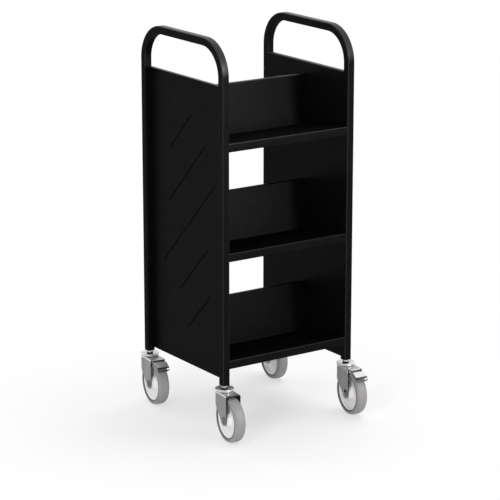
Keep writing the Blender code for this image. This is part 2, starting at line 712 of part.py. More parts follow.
def build_castor(corner, post, meshes, materials, trolley):
    braked = corner in BRAKED
    zinc, bright = materials["zinc"], materials["bright_steel"]
    piece(f"leg_insert_{corner}", meshes["leg_insert"], materials["nylon"], trolley, post)
    piece(f"castor_stem_{corner}", meshes["castor_stem"], materials["dark_steel"], trolley, post)
    piece(f"swivel_cup_{corner}", meshes["swivel_cup"], zinc, trolley, post)

    swivel = empty(f"swivel_axis_{corner}", post, REST_SWIVEL, trolley)
    fork = meshes["braked_fork" if braked else "plain_fork"]
    piece(f"ball_ring_{corner}", meshes["ball_ring"], bright, swivel)
    piece(f"lower_race_{corner}", meshes["lower_race"], zinc, swivel)
    piece(f"fork_{corner}", fork, zinc, swivel)

    axle = (0, -TRAIL, AXLE_Z)
    piece(f"axle_bolt_{corner}", meshes["axle_bolt"], bright, swivel, axle)
    piece(f"axle_nut_{corner}", meshes["axle_nut"], bright, swivel, axle)
    wheel = empty(f"wheel_axis_{corner}", axle, parent=swivel)
    piece(f"wheel_bush_{corner}", meshes["wheel_bush"], bright, wheel)
    piece(f"wheel_rim_{corner}", meshes["wheel_rim"], materials["wheel_plastic"], wheel)
    piece(f"tyre_{corner}", meshes["tyre"], materials["grey_rubber"], wheel)

    if braked:
        pin = (0, PIN_Y, PIN_Z)
        piece(f"brake_pin_{corner}", meshes["brake_pin"], bright, swivel, pin)
        piece(f"brake_pedal_{corner}", meshes["brake_pedal"], zinc, swivel, pin)
        piece(f"brake_shoe_{corner}", meshes["brake_shoe"], zinc, swivel, pin)


def centre_on_footprint(trolley):
    """Moves the trolley so that the middle of its footprint is over the origin."""
    bpy.context.view_layer.update()
    parts = [part for part in bpy.data.objects if part.type == "MESH"]
    points = [part.matrix_world @ vertex.co for part in parts for vertex in part.data.vertices]
    for axis in (0, 1):
        reach = [point[axis] for point in points]
        trolley.location[axis] = -(min(reach) + max(reach)) / 2
    bpy.context.view_layer.update()


def main():
    clear_scene()
    materials = make_materials()
    trolley = empty("trolley")
    build_body(trolley, materials)
    meshes = castor_meshes()
    for face, y in (("front", -POST_SPACING / 2), ("rear", POST_SPACING / 2)):
        for side, x in (("left", -FRAME_SPACING / 2), ("right", FRAME_SPACING / 2)):
            build_castor(f"{face}_{side}", (x, y, 0), meshes, materials, trolley)
    centre_on_footprint(trolley)


main()
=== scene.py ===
"""Looks of the book trolley: finer skins for its pieces, their finishes, a pale floor and soft light.

Every piece is worked out as whole numpy arrays in the frame's axes (metres, +Z up) and stands in
the place of its solid. Castor pieces are worked out about their stem, with x along the axle, y
towards the fork's round back and z up from the floor, and are then turned to the way the castor
stands.
"""

import json
import math

import bmesh
import bpy
import numpy as np
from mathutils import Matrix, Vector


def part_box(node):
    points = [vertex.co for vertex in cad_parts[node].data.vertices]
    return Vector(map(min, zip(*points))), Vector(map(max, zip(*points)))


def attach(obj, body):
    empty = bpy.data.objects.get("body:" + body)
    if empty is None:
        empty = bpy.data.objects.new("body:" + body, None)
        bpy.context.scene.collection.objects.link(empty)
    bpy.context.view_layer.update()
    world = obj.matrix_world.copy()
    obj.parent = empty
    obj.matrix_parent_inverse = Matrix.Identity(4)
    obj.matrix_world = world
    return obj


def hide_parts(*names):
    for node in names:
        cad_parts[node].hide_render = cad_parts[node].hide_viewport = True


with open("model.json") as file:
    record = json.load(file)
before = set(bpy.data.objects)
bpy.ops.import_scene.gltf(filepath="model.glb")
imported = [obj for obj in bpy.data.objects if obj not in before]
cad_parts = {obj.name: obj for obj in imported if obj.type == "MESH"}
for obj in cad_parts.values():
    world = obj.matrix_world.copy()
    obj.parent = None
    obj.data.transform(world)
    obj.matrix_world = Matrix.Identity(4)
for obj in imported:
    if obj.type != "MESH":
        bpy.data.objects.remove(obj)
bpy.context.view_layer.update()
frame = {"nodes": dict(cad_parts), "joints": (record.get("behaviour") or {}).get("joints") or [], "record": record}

JOINTS = {joint["name"]: joint for joint in frame["joints"]}
CORNERS = ("front_left", "front_right", "rear_left", "rear_right")
BRAKED = tuple(c for c in CORNERS if f"brake_pedal_{c}" in frame["nodes"])
MM = 0.001

# Body sheets and tubes
TUBE_WALL = 1.5 * MM
TUBE_CORNER = 3 * MM
CORNER_POLISH = 0.62
POLISH_SET_IN = 4 * MM         # half the height over which polish sets in above the panel
HANDLE_BEND = 88 * MM          # radius at the middle of the tube
HANDLE_TURN = 0.5              # upward part of a bend's outer normal where the handle's polish is full
PANEL_SHEET = 1.5 * MM
PANEL_FOLD = 2 * MM
PANEL_COLUMN = 12 * MM         # between the panel's plain columns
PANEL_ROWS = 90
LINE_WIDTH = 3 * MM
LINE_DEPTH = 0.6 * MM
LINE_WALL = 0.7 * MM           # from a line's rim to its bed
BESIDE_LINE = (0, 0.5, 0.9, 1.1, 1.3, 1.6, 2.2, 3)   # columns beside a line, in half widths of it
# Each diagonal line of the panels: middle towards the rear, middle above the lower edge, length
LINES = np.array([
    (31.8, 655.5, 153),
    (0.9, 543.5, 251),
    (-5.4, 402.2, 378),
    (-25.8, 274.9, 203),
    (-53.5, 162.4, 165),
]) * MM
SHELF_SHEET = 1.2 * MM
SHELF_FOLD = 2 * MM
LIP_HEIGHT = 24 * MM
LIP_RUN_IN = 2 * MM            # of the lip's ends into the posts
FLOOR_SLOPE = math.radians(7)
RIDGE_FLANGE = 6.5 * MM
SHELF_STATIONS = 9
SHELF_USE = {"bottom": 0.3, "middle": 0.3, "top": 1.0}   # how polished a shelf is
FACES_UP = (0.2, 0.9)          # upward part of a normal where polish sets in, and where it is full
CUT_ROUNDING = 0.45            # of a sheet's cut edges, as a share of the sheet

# Castors
TRAIL = 37 * MM
FORK_HALF = 22.5 * MM
FORK_SHEET = 2.5 * MM
FORK_FOLD = 2.75 * MM          # at mid-sheet
FORK_FRONT = 53 * MM
HEAD_RADIUS = 24.7 * MM        # round back of the fork about the stem
LEG_END = 16 * MM
LEG_REAR = 11 * MM
LEG_SHOULDER = 34.5 * MM
CROWN_APRON = 6 * MM
APRON_EASE = (-1.5 * MM, 1 * MM)   # about the apron's lower edge, where the legs run out into it
APRON_ROWS = 2 * MM            # below the apron, from where rows are close
EDGE_POWER = 24                # of the cut edges' rounding: the higher, the squarer
CUT_EDGE_SHADE = (0.94, 0.64)        # share of the sheet left where painted shade on a cut edge sets in, and where it is full
FLAT_FROM = 0.9                # part of a normal from which a leg or the crown counts as flat
BOSS_RADIUS = 11 * MM          # pressed boss round the axle
BOSS_RISE = 0.5 * MM
BOSS_WALL = 1.6 * MM           # width of its slope
BACK_RISE = (75 * MM, 100 * MM)   # heights where the legs begin to follow the back, and wholly do
SHEET_PAINTED_SHADE = 0.70              # painted shade on fork legs and brake leaves
# painted shade on the fork's crown, less than on the legs
CROWN_PAINTED_SHADE = 0.40
DISH_DEPTH = 3.8 * MM
SKIRT_LIFT = 3.4 * MM          # lower edge of the cup's skirt above the race's foot
STEM_RADIUS = 5.8 * MM
STEM_REACH = 33 * MM           # into the post
STEM_PITCH = 1.75 * MM
STEM_THREAD = 0.6 * MM         # depth
COLLAR_HEX = 16 * MM           # across flats
SEAL_HEIGHT = 4.9 * MM
AXLE_RADIUS = 4 * MM
AXLE_HEX = 13 * MM
AXLE_HEAD = 5.3 * MM           # bolt's head past the fork
AXLE_TAIL = 8.5 * MM           # and its end on the other side
AXLE_PITCH = 1.25 * MM
AXLE_THREAD = 0.45 * MM        # depth
WHEEL_SIDES = 120
RACE_SIDES = 96
ROUND_SIDES = 72               # of bolts, nuts and stems
PIN_SIDES = 36
TYRE_SHADE_RING = (58 * MM, 53 * MM)   # radii where painted shade on the tyre's sides sets in, and where it is full
SHADED_WEB = (21.9 * MM, 45.4 * MM)   # radii of the wheel's web, which takes painted shade

# Brakes
BRAKE_SHEET = 1.5 * MM
PIN_FORWARD = 13 * MM          # brake pin in front of the axle
PIN_PLAY = 0.05 * MM           # between its heads and the fork
EYE_RADII = (2 * MM, 3 * MM)
TONGUE_LENGTH = 4.65 * MM      # in front of the fork
TONGUE_DEPTH = 4.6 * MM
TONGUE_HALF = 17.2 * MM        # half its width
TONGUE_SHEET = 2.1 * MM
TONGUE_FOLD = 1.4 * MM
TONGUE_ROOT = 2 * MM           # behind the fork's front edge
TONGUE_LIP_SHADE = (0.2 * MM, 0.7 * MM)      # below its middle: where painted shade on the lip sets in, and is full
PEDAL_EYE = 10.7 * MM          # half its length
PEDAL_ROOT = 2 * MM            # behind the pin
PEDAL_ARM = 13 * MM
ARM_HALF = 11 * MM
PEDAL_START = (-21.5 * MM, 2.6 * MM)   # upper edge of the pedal's tread, from the pin
PEDAL_LENGTH = 21 * MM
PEDAL_SLOPE = math.radians(30)
PEDAL_HALF = 18 * MM
PEDAL_WIDENS = (15.5 * MM, 17.7 * MM)  # in front of the pin, from the arm's width to the tread's
PEDAL_FOLD = 1.6 * MM
PEDAL_EDGE = (0.8 * MM, -2.6 * MM)     # turned-in edge, from the tread's lower end
EDGE_SHADE = (1.2 * MM, 0.6 * MM)       # above that end: where painted shade on the edge sets in, and is full
SHOE_EYES = (11.7 * MM, 14.7 * MM)     # from the middle of the pin
SHOE_ROOT = (-1 * MM, -2.2 * MM)       # start of the shoe's arms, from the pin
SHOE_ARM_HALF = 1.6 * MM
SHOE_HALF = 15 * MM
LEAF_ANGLES = np.radians((15.5, 48))   # of the shoe's leaf about the axle, from straight up
LEAF_RADII = (64.7 * MM, 66 * MM)
LEAF_ROWS = 24
LEAF_START, ARM_END = 6, 9     # rows where the leaf grows wide, and where the arms end in it
TOE_LENGTH = 20 * MM
TOE_SLOPE = math.radians(33)
TOE_HALF = 4 * MM
TOE_ROWS = 14
TOE_STRAIGHT = 3.5             # straight stretch of the toe, in lengths of its round end
TOE_END = 0.5                  # share of its width that is left at the end

GAP = 0.3 * MM
SEAM = 0.5 * MM                # how far welded sheets run into their neighbours


def eased(value, start, end):
    """Eased step, 3 v^2 - 2 v^3, where v goes from 0 at start to 1 at end and is held beyond them."""
    v = np.clip((value - start) / (end - start), 0, 1)
    return v * v * (3 - 2 * v)


# Shapes in the plane

def unit(v):
    """Vectors divided by their lengths."""
    return v / np.linalg.norm(v, axis=-1, keepdims=True)


def arc(centre, radius, start, end, steps):
    """Points centre + radius (cos a, sin a), with a from start to end in equal steps."""
    a = np.linspace(start, end, steps + 1)
    return np.stack([centre[0] + radius * np.cos(a), centre[1] + radius * np.sin(a)], 1)


def corner_arcs(corners, radii, steps):
    """For each corner of a closed polygon, the arc of its radius that touches both sides.

    The arc's centre lies on the corner's bisector at radius / sin(half angle), and its points are
    turned evenly from one touching point to the other.
    """
    p = np.asarray(corners, float)
    r = np.broadcast_to(np.asarray(radii, float), len(p))
    before = unit(np.roll(p, 1, 0) - p)
    after = unit(np.roll(p, -1, 0) - p)
    half = np.arccos(np.clip((before * after).sum(1), -0.999999, 0.999999)) / 2
    centre = p + unit(before + after) * (r / np.sin(half))[:, None]
    reach = (r / np.tan(half))[:, None]
    first, last = p + before * reach - centre, p + after * reach - centre
    turn = (math.pi - 2 * half)[:, None, None]
    t = np.linspace(0, 1, steps + 1)[None, :, None]
    swing = np.sin((1 - t) * turn) * first[:, None] + np.sin(t * turn) * last[:, None]
    return centre[:, None] + swing / np.sin(turn)


def rounded(corners, radii, steps=5):
    """Closed polygon with its corners rounded."""
    return corner_arcs(corners, radii, steps).reshape(-1, 2)


def bent(path, radius, steps=6):
    """Open path with its inner corners rounded."""
    p = np.asarray(path, float)
    return np.vstack([p[:1], corner_arcs(p, radius, steps)[1:-1].reshape(-1, 2), p[-1:]])


def sheet_section(path, sheet, fold, steps=6):
    """Outline of a folded sheet: its mid-line, set off to both sides by half the sheet with mitred
    corners, then rounded by the fold inside each bend and by fold + sheet outside it."""
    p = np.asarray(path, float)
    run = unit(np.diff(p, axis=0))
    side = np.stack([-run[:, 1], run[:, 0]], 1)
    turn = run[:-1, 0] * run[1:, 1] - run[:-1, 1] * run[1:, 0]
    mitre = (side[:-1] + side[1:]) / (1 + (side[:-1] * side[1:]).sum(1))[:, None]
    offset = np.vstack([side[:1], mitre, side[-1:]]) * sheet / 2
    end = np.array([CUT_ROUNDING * sheet])
    left = np.where(turn > 0, fold, fold + sheet)
    right = 2 * fold + sheet - left
    radii = np.concatenate([end, left, end, end, right[::-1], end])
    return rounded(np.vstack([p + offset, (p - offset)[::-1]]), radii, steps)


def hexagon_reach(angle, across_flats):
    """Distance from the middle of a hexagon to its edge: half its width / cos(angle off the flat)."""
    off_flat = np.mod(angle + math.pi / 6, math.pi / 3) - math.pi / 6
    return across_flats / 2 / np.cos(off_flat)


# Skins in space

def skin(rings, wrap=False, capped=True):
    """Points, quads and end faces of a skin through closed rings of points (rings, points, 3): quads
    between neighbouring rings, and a flat face on each end unless the last ring joins the first."""
    count, around = rings.shape[:2]
    near = np.arange(count * around).reshape(count, around)
    far = np.roll(near, -1, 0)
    caps = [near[0, ::-1], near[-1]] if capped and not wrap else []
    if not wrap:
        near, far = near[:-1], far[:-1]
    quads = np.stack([near, np.roll(near, -1, 1), np.roll(far, -1, 1), far], -1)
    return rings.reshape(-1, 3), quads.reshape(-1, 4), caps


def prism(outline, stations):
    """Rings that repeat a flat outline (y, z) at stations along X."""
    return np.stack(np.broadcast_arrays(stations[:, None], outline[:, 0], outline[:, 1]), -1)


def turn_angles(sides):
    """Angles of a ring's points, once round in equal steps from -90 degrees."""
    return np.linspace(-math.pi / 2, 1.5 * math.pi, sides, endpoint=False)


def turned(radius, distance, axis, sides=ROUND_SIDES, centre=(0, 0, 0)):
    """Rings about an axis: radius (rings,) or (rings, sides) at a distance (rings,) along it."""
    a = turn_angles(sides)
    r = np.asarray(radius, float)
    r = np.broadcast_to(r[:, None] if r.ndim == 1 else r, (len(r), sides))
    d = np.broadcast_to(np.asarray(distance, float)[:, None], r.shape)
    p, q = r * np.cos(a), r * np.sin(a)
    order = {"X": (d, p, q), "Z": (p, q, d)}[axis]
    return np.stack(order, -1) + np.asarray(centre, float)


def hex_rings(limit, distance, across_flats, axis, centre, sides=ROUND_SIDES):
    """Turned rings cut to a hexagon: at each angle the smaller of the ring's radius and the hexagon."""
    radius = np.minimum(np.asarray(limit, float)[:, None], hexagon_reach(turn_angles(sides), across_flats))
    return turned(radius, distance, axis, sides, centre)


def strip(path, half_width, sheet, middle=0.0, edge_steps=3):
    """Rings of a sheet-metal strip along a path in the YZ plane: at each point a flat section across
    X, half_width to each side of middle, with half-round edges of the sheet's thickness."""
    p = np.asarray(path, float)
    run = unit(np.gradient(p, axis=0))
    normal = np.stack([-run[:, 1], run[:, 0]], 1)
    right = arc((0, 0), sheet / 2, -math.pi / 2, math.pi / 2, 2 * edge_steps)
    w = np.broadcast_to(np.asarray(half_width, float), len(p))[:, None] - sheet / 2
    m = np.broadcast_to(np.asarray(middle, float), len(p))[:, None]
    across = np.hstack([m + w + right[:, 0], m - w - right[:, 0]])
    out = np.broadcast_to(np.concatenate([right[:, 1], -right[:, 1]]), across.shape)
    y = p[:, :1] + normal[:, :1] * out
    z = p[:, 1:] + normal[:, 1:] * out
    return np.stack([across, y, z], -1)


def resampled(path, step):
    """Path with points added so that no stretch is longer than about a step, and without points that
    lie closer than a twentieth of a step to the one before."""
    p = np.asarray(path, float)
    length = np.concatenate([[0], np.cumsum(np.linalg.norm(np.diff(p, axis=0), axis=1))])
    spread = np.linspace(0, length[-1], max(2, int(length[-1] / step)))
    s = np.unique(np.concatenate([length, spread]))
    s = s[np.concatenate([[True], np.diff(s) > step * 0.05])]
    return np.stack([np.interp(s, length, p[:, 0]), np.interp(s, length, p[:, 1])], 1)


SHARP_EDGE = math.radians(32)
SAME_POINT = 0.002 * MM        # points nearer than this are merged


def piece(name, shells, body, slot, replaced, **marks):
    """One object from closed skins, with doubles merged and faces turned outwards, in place of a node.
    Each mark is a value of every point, from 0 to 1, kept under its name for the finish to read: where it takes
    painted shade, and where it is polished."""
    faces, start = [], 0
    for points, quads, caps in shells:
        faces += (quads + start).tolist() + [(cap + start).tolist() for cap in caps]
        start += len(points)
    mesh = bpy.data.meshes.new(name)
    mesh.from_pydata(np.vstack([shell[0] for shell in shells]), [], faces)
    for mark, values in marks.items():
        kept = mesh.attributes.new(mark, "FLOAT", "POINT")
        kept.data.foreach_set("value", np.asarray(values, np.float32))
    bm = bmesh.new()
    bm.from_mesh(mesh)
    bmesh.ops.remove_doubles(bm, verts=bm.verts, dist=SAME_POINT)
    bmesh.ops.recalc_face_normals(bm, faces=bm.faces)
    bm.to_mesh(mesh)
    bm.free()
    mesh.shade_smooth()
    mesh.set_sharp_from_angle(angle=SHARP_EDGE)
    mesh.materials.append(FINISH[slot])
    made = bpy.data.objects.new(name, mesh)
    bpy.context.scene.collection.objects.link(made)
    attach(made, body)
    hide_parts(replaced)
    return made


# Finishes

COARSER = 30.0                 # broad grain to fine grain
GRAIN_DEPTH = 0.1 * MM
NOISE_MIDDLE = (0.3, 0.7)      # between which most of a noise lies
POLISH = 0.85                  # weight that polish adds to a coat


def sockets(group, direction, **kinds):
    """Gives a node group named inputs or outputs, with a blank for each underscore."""
    for name, kind in kinds.items():
        group.interface.new_socket(name.replace("_", " "), in_out=direction, socket_type=kind)


def calculate(nodes, links, operation, *inputs):
    """Result of a math node on numbers and sockets."""
    node = nodes.new("ShaderNodeMath")
    node.operation = operation
    for socket, value in zip(node.inputs, inputs):
        if isinstance(value, bpy.types.NodeSocket):
            links.new(value, socket)
        else:
            socket.default_value = value
    return node.outputs[0]


def grain_group():
    """Fine and broad unevenness in the piece's own coordinates: two noises, one much coarser."""
    group = bpy.data.node_groups.new("grain", "ShaderNodeTree")
    sockets(group, "INPUT", Scale="NodeSocketFloat")
    sockets(group, "OUTPUT", Fine="NodeSocketFloat", Broad="NodeSocketFloat")
    nodes, links = group.nodes, group.links
    source, sink = nodes.new("NodeGroupInput"), nodes.new("NodeGroupOutput")
    place = nodes.new("ShaderNodeTexCoord")
    fine = source.outputs["Scale"]
    coarse = calculate(nodes, links, "DIVIDE", fine, COARSER)
    for output, scale, detail in (("Fine", fine, 2.0), ("Broad", coarse, 4.0)):
        noise = nodes.new("ShaderNodeTexNoise")
        noise.inputs["Detail"].default_value = detail
        links.new(place.outputs["Object"], noise.inputs["Vector"])
        links.new(scale, noise.inputs["Scale"])
        links.new(noise.outputs["Fac"], sink.inputs[output])
    return group


GRAIN = grain_group()


def drift(nodes, links, source, low, high):
    """Map Range node that spreads a noise's middle stretch from low to high."""
    spread = nodes.new("ShaderNodeMapRange")
    for socket, value in zip(("From Min", "From Max", "To Min", "To Max"), (*NOISE_MIDDLE, low, high)):
        spread.inputs[socket].default_value = value
    links.new(source, spread.inputs["Value"])
    return spread.outputs["Result"]


def blend_colours(nodes, links, factor, first, second):
    """Mix node from the first colour, a value or a socket, to the second."""
    mix = nodes.new("ShaderNodeMix")
    mix.data_type = "RGBA"
    links.new(factor, mix.inputs["Factor"])
    if isinstance(first, tuple):
        mix.inputs["A"].default_value = (*first, 1)
    else:
        links.new(first, mix.inputs["A"])
    mix.inputs["B"].default_value = (*second, 1)
    return mix.outputs["Result"]


def mark(nodes, name):
    """Value that a piece keeps at its points under a name, 0 where it keeps none."""
    source = nodes.new("ShaderNodeAttribute")
    source.attribute_name = name
    return source.outputs["Fac"]


def coat_weight(nodes, links, broad, low, high):
    """Weight of a clear coat: a little everywhere, more where polished, none where shade is painted."""
    everywhere = drift(nodes, links, broad, low, high)
    raised = calculate(nodes, links, "MULTIPLY_ADD", mark(nodes, "polish"), POLISH, everywhere)
    weight = calculate(nodes, links, "SUBTRACT", raised, mark(nodes, "painted_shade"))
    weight.node.use_clamp = True
    return weight


def finish(name, dark, light, rough, scale, bump, coat=None, dull_colour=None, **shader_values):
    """Material whose colour and roughness drift with the broad grain and whose skin has the fine one.
    scale is the fine grain's, coat is the range of its coat's weight, and the last colour is painted shade that
    the piece's points turn towards where they are marked."""
    material = bpy.data.materials.new(name)
    material.use_nodes = True
    nodes, links = material.node_tree.nodes, material.node_tree.links
    shader = nodes["Principled BSDF"]
    for key, value in shader_values.items():
        shader.inputs[key.replace("_", " ")].default_value = value
    grain = nodes.new("ShaderNodeGroup")
    grain.node_tree = GRAIN
    grain.inputs["Scale"].default_value = scale
    broad = grain.outputs["Broad"]
    tone = blend_colours(nodes, links, drift(nodes, links, broad, 0, 1), dark, light)
    # Painted shade: the colour turns towards a darker one where the piece's points are marked.
    if dull_colour:
        tone = blend_colours(nodes, links, mark(nodes, "painted_shade"), tone, dull_colour)
    if coat:
        links.new(coat_weight(nodes, links, broad, *coat), shader.inputs["Coat Weight"])
    links.new(tone, shader.inputs["Base Color"])
    links.new(drift(nodes, links, broad, *rough), shader.inputs["Roughness"])
    relief = nodes.new("ShaderNodeBump")
    relief.inputs["Strength"].default_value = bump
    relief.inputs["Distance"].default_value = GRAIN_DEPTH
    links.new(grain.outputs["Fine"], relief.inputs["Height"])
    links.new(relief.outputs["Normal"], shader.inputs["Normal"])
    return material


# In a finish, the last colour, where there is one, is painted shade that marked points turn towards. It stands for
# shade in lines, gaps and hollows, for parts less lit, and for dark surroundings mirrored in metal.
FINISH_VALUES = {
    "powder_coat": dict(
        dark=(0.0026, 0.0026, 0.0031), light=(0.0032, 0.0032, 0.0037), rough=(0.5, 0.6),
        scale=1400, bump=0.03, coat=(0.080, 0.095), dull_colour=(0.0006, 0.0006, 0.0007),
        Specular_IOR_Level=0.0, Coat_Roughness=0.38),
    "zinc_plate": dict(
        dark=(0.70, 0.70, 0.705), light=(0.76, 0.76, 0.765), rough=(0.30, 0.38),
        scale=900, bump=0.02, dull_colour=(0.02, 0.02, 0.0205), Metallic=0.65),
    "plated_steel": dict(
        dark=(0.62, 0.62, 0.62), light=(0.70, 0.70, 0.695), rough=(0.18, 0.26),
        scale=1200, bump=0.02, dull_colour=(0.12, 0.12, 0.12), Metallic=1.0),
    "black_steel": dict(
        dark=(0.004, 0.004, 0.004), light=(0.007, 0.007, 0.007), rough=(0.4, 0.5),
        scale=1400, bump=0.05, Specular_IOR_Level=0.1),
    "nylon": dict(
        dark=(0.010, 0.010, 0.010), light=(0.016, 0.016, 0.016), rough=(0.48, 0.6),
        scale=1200, bump=0.1),
    "wheel_plastic": dict(
        dark=(0.80, 0.79, 0.795), light=(0.84, 0.83, 0.835), rough=(0.38, 0.48),
        scale=900, bump=0.05, dull_colour=(0.71, 0.695, 0.70), Specular_IOR_Level=0.25),
    "tyre_rubber": dict(
        dark=(0.24, 0.23, 0.235), light=(0.28, 0.27, 0.275), rough=(0.52, 0.66),
        scale=1000, bump=0.2, dull_colour=(0.115, 0.11, 0.112)),
}
FINISH = {name: finish(name, **values) for name, values in FINISH_VALUES.items()}

for part in frame["record"]["subparts"]:
    node = frame["nodes"][part["node"]]
    node.data.materials.clear()
    node.data.materials.append(FINISH[part["material_slot"]])


# Body

def upward(outline):
    """How far each point of a closed outline (p, z) faces up, from 0 on upright sides to 1: the eased
    upward part of its normal, which lies to the left of the way round."""
    run = unit(np.roll(outline, -1, 0) - np.roll(outline, 1, 0))
    return eased(run[:, 0], *FACES_UP)


def tube_shell(node):
    """Square tube bent to an upside-down U and how polished its points are.

    An outer and an inner rounded square are carried along the posts and the bends. At each station
    the section turns with the path, and the two walls join at the lower ends. Use has polished the
    corners a little, most at the middle of each: sin(pi t)^2 with t from 0 to 1 across it. The two on
    the inside of the U are plain beside the panel and under the handle, and the whole upper side of
    the handle is polished.
    """
    low, high = (np.array(v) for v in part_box(node))
    panel_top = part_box(node.replace("tube", "panel"))[1][2]
    side = high[0] - low[0]
    middle = (low + high) / 2
    half_span = (high[1] - low[1] - side) / 2
    crest = high[2] - side / 2
    ends = np.array([(-half_span, low[2]), (-half_span, crest), (half_span, crest), (half_span, low[2])])
    path = bent(ends, HANDLE_BEND, steps=28)
    set_in = np.array([(-half_span, panel_top - POLISH_SET_IN), (-half_span, panel_top + POLISH_SET_IN)])
    path = np.vstack([path[:1], set_in, path[1:-1], set_in[::-1] * (-1, 1), path[-1:]])
    run = unit(np.gradient(path, axis=0))
    run[0], run[-1] = (0, 1), (0, -1)
    outward = np.stack([-run[:, 1], run[:, 0]], 1)
    corner_steps = 8

    def wall(width, corner):
        h = width / 2
        section = rounded([(h, h), (-h, h), (-h, -h), (h, -h)], corner, corner_steps)
        across = np.broadcast_to(section[:, 0], (len(path), len(section)))
        yz = path[:, None] + section[None, :, 1, None] * outward[:, None]
        return np.concatenate([across[..., None], yz], -1) + (middle[0], middle[1], 0)

    outer = wall(side, TUBE_CORNER)
    inner = wall(side - 2 * TUBE_WALL, TUBE_CORNER - TUBE_WALL)
    t = np.linspace(0, 1, corner_steps + 1)
    corners = np.tile(np.sin(math.pi * t) ** 2, 2)
    plain = np.zeros(len(corners))
    outer_corners = np.concatenate([corners, plain])
    inner_corners = np.concatenate([plain, corners])
    upper_side = np.concatenate([eased(t, 0, 1), eased(t, 1, 0), plain])
    beside_panel = eased(path[:, 1:], panel_top + POLISH_SET_IN, panel_top - POLISH_SET_IN)
    on_handle = eased(outward[:, 1:], 0, HANDLE_TURN)
    worn = outer_corners + (1 - beside_panel) * (1 - on_handle) * inner_corners
    polish = np.maximum(CORNER_POLISH * worn, on_handle * upper_side)
    shell = skin(np.concatenate([outer, inner[::-1]]), wrap=True)
    return shell, np.concatenate([polish, 0 * polish]).ravel()


def line_depth(y, z):
    """Depth of the pressed lines at points of the panel, as a share of the full depth: each line is a
    round-ended strip, and the depth eases from its rim to its bed with the distance to its middle."""
    depth = np.zeros(y.shape)
    for middle, height, length in LINES:
        reach = (length - LINE_WIDTH) / 2
        dy, dz = y - middle, z - height
        along = np.clip((dz - dy) / math.sqrt(2), -reach, reach)
        off = np.hypot(dy + along / math.sqrt(2), dz - along / math.sqrt(2))
        depth = np.maximum(depth, eased(off, LINE_WIDTH / 2, LINE_WIDTH / 2 - LINE_WALL))
    return depth


def panel_shell(node, outward):
    """Side panel, where its points take painted shade and how polished they are, with x outwards from its inner
    face, y along it and z up from its lower edge.

    Rows run up the sheet and round the fold of its top flange. Columns slant with the pressed lines (y + z stays
    the same along a column), lie closest beside them, and are held between the sheet's two edges. The outer skin
    lies lower in the lines and takes painted shade there, as strong as they are deep, and the inner skin is plain.
    """
    low, high = (np.array(v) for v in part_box(node))
    half = (high[1] - low[1]) / 2 + TUBE_CORNER
    height = high[2] - low[2]
    middle = PANEL_SHEET / 2
    corners = [(middle, 0), (middle, height - middle), (high[0] - low[0], height - middle)]
    section = bent(corners, PANEL_FOLD + middle, steps=10)
    flat = section[1, 1]
    beside = np.array(BESIDE_LINE) * LINE_WIDTH / 2
    beside = np.concatenate([-beside[:0:-1], beside])
    reach = (LINES[:, 2] - LINE_WIDTH) / 2 / math.sqrt(2)
    ends = np.concatenate([LINES[:, 1] - reach, LINES[:, 1] + reach])
    rows = np.concatenate([np.linspace(0, flat, PANEL_ROWS), (ends[:, None] + beside).ravel()])
    rows = np.unique(rows[(rows >= 0) & (rows <= flat)])
    sheet = np.vstack([np.stack([np.full(len(rows), middle), rows], 1), section[2:]])
    run = unit(np.gradient(sheet, axis=0))
    run[: len(rows)] = (0, 1)
    normal = np.stack([run[:, 1], -run[:, 0]], 1) * middle
    slants = (LINES[:, :1] + LINES[:, 1:2] + beside * math.sqrt(2)).ravel()
    columns = np.unique(np.concatenate([slants, np.arange(-half, height + half, PANEL_COLUMN)]))
    y = np.clip(columns - np.minimum(sheet[:, 1:], flat), -half, half)
    depth = line_depth(y, np.broadcast_to(sheet[:, 1:], y.shape))

    def face(side, pressed):
        x = sheet[:, :1] + side * normal[:, :1] - pressed
        z = np.broadcast_to(sheet[:, 1:] + side * normal[:, 1:], y.shape)
        return np.stack([x, y, z], -1)

    rings = np.concatenate([face(1, LINE_DEPTH * depth), face(-1, 0 * depth)[:, ::-1]], 1)
    inner_face = high[0] if outward < 0 else low[0]
    rings = rings * (outward, -outward, 1) + (inner_face, (low[1] + high[1]) / 2, low[2])
    # Painted shade in the pressed lines, as strong as they are deep, on the outer skin only.
    painted_shade = np.concatenate([depth, 0 * depth], 1)
    polish = np.zeros(rings.shape[:2])
    polish[:, len(columns):] = eased(normal[:, 1:], 0, -middle)
    return skin(rings), {"painted_shade": painted_shade.ravel(), "polish": polish.ravel()}


def shelf_shell(node, facing):
    """Shelf and how polished its points are: the section of its folded sheet (lip, sloping floor, back
    plate, ridge flange) carried along X. The floor falls from the lip to the foot of the back plate,
    which is square to it. The lip runs into the posts, and its fold and the ridge are polished."""
    low, high = (np.array(v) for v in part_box(node))
    half_sheet = SHELF_SHEET / 2
    lip = np.array((half_sheet, LIP_HEIGHT - half_sheet))
    ridge_end = np.array((high[1] - low[1] + GAP / 2, high[2] - low[2] - half_sheet))
    back_top = ridge_end - (RIDGE_FLANGE, 0)
    fall = np.array((math.cos(FLOOR_SLOPE), -math.sin(FLOOR_SLOPE)))
    crease = lip + fall * ((back_top - lip) @ fall)
    path = [(half_sheet, 0), lip, crease, back_top, ridge_end]
    section = sheet_section(path, SHELF_SHEET, SHELF_FOLD, steps=8)
    at_lip = section[:, 0] < 2 * SHELF_FOLD
    at_ridge = section[:, 1] > LIP_HEIGHT + SHELF_FOLD
    up = upward(section)
    polish = np.where(at_lip, 4 * up * (1 - up), np.where(at_ridge, up, 0))
    run_in = np.where(at_lip, LIP_RUN_IN, SEAM)
    front = low[1] if facing < 0 else high[1]
    section = section * (-facing, 1) + (front, low[2])
    rings = prism(section, np.linspace(low[0], high[0], SHELF_STATIONS))
    rings[0, :, 0] -= run_in
    rings[-1, :, 0] += run_in
    return skin(rings), np.tile(polish, len(rings))


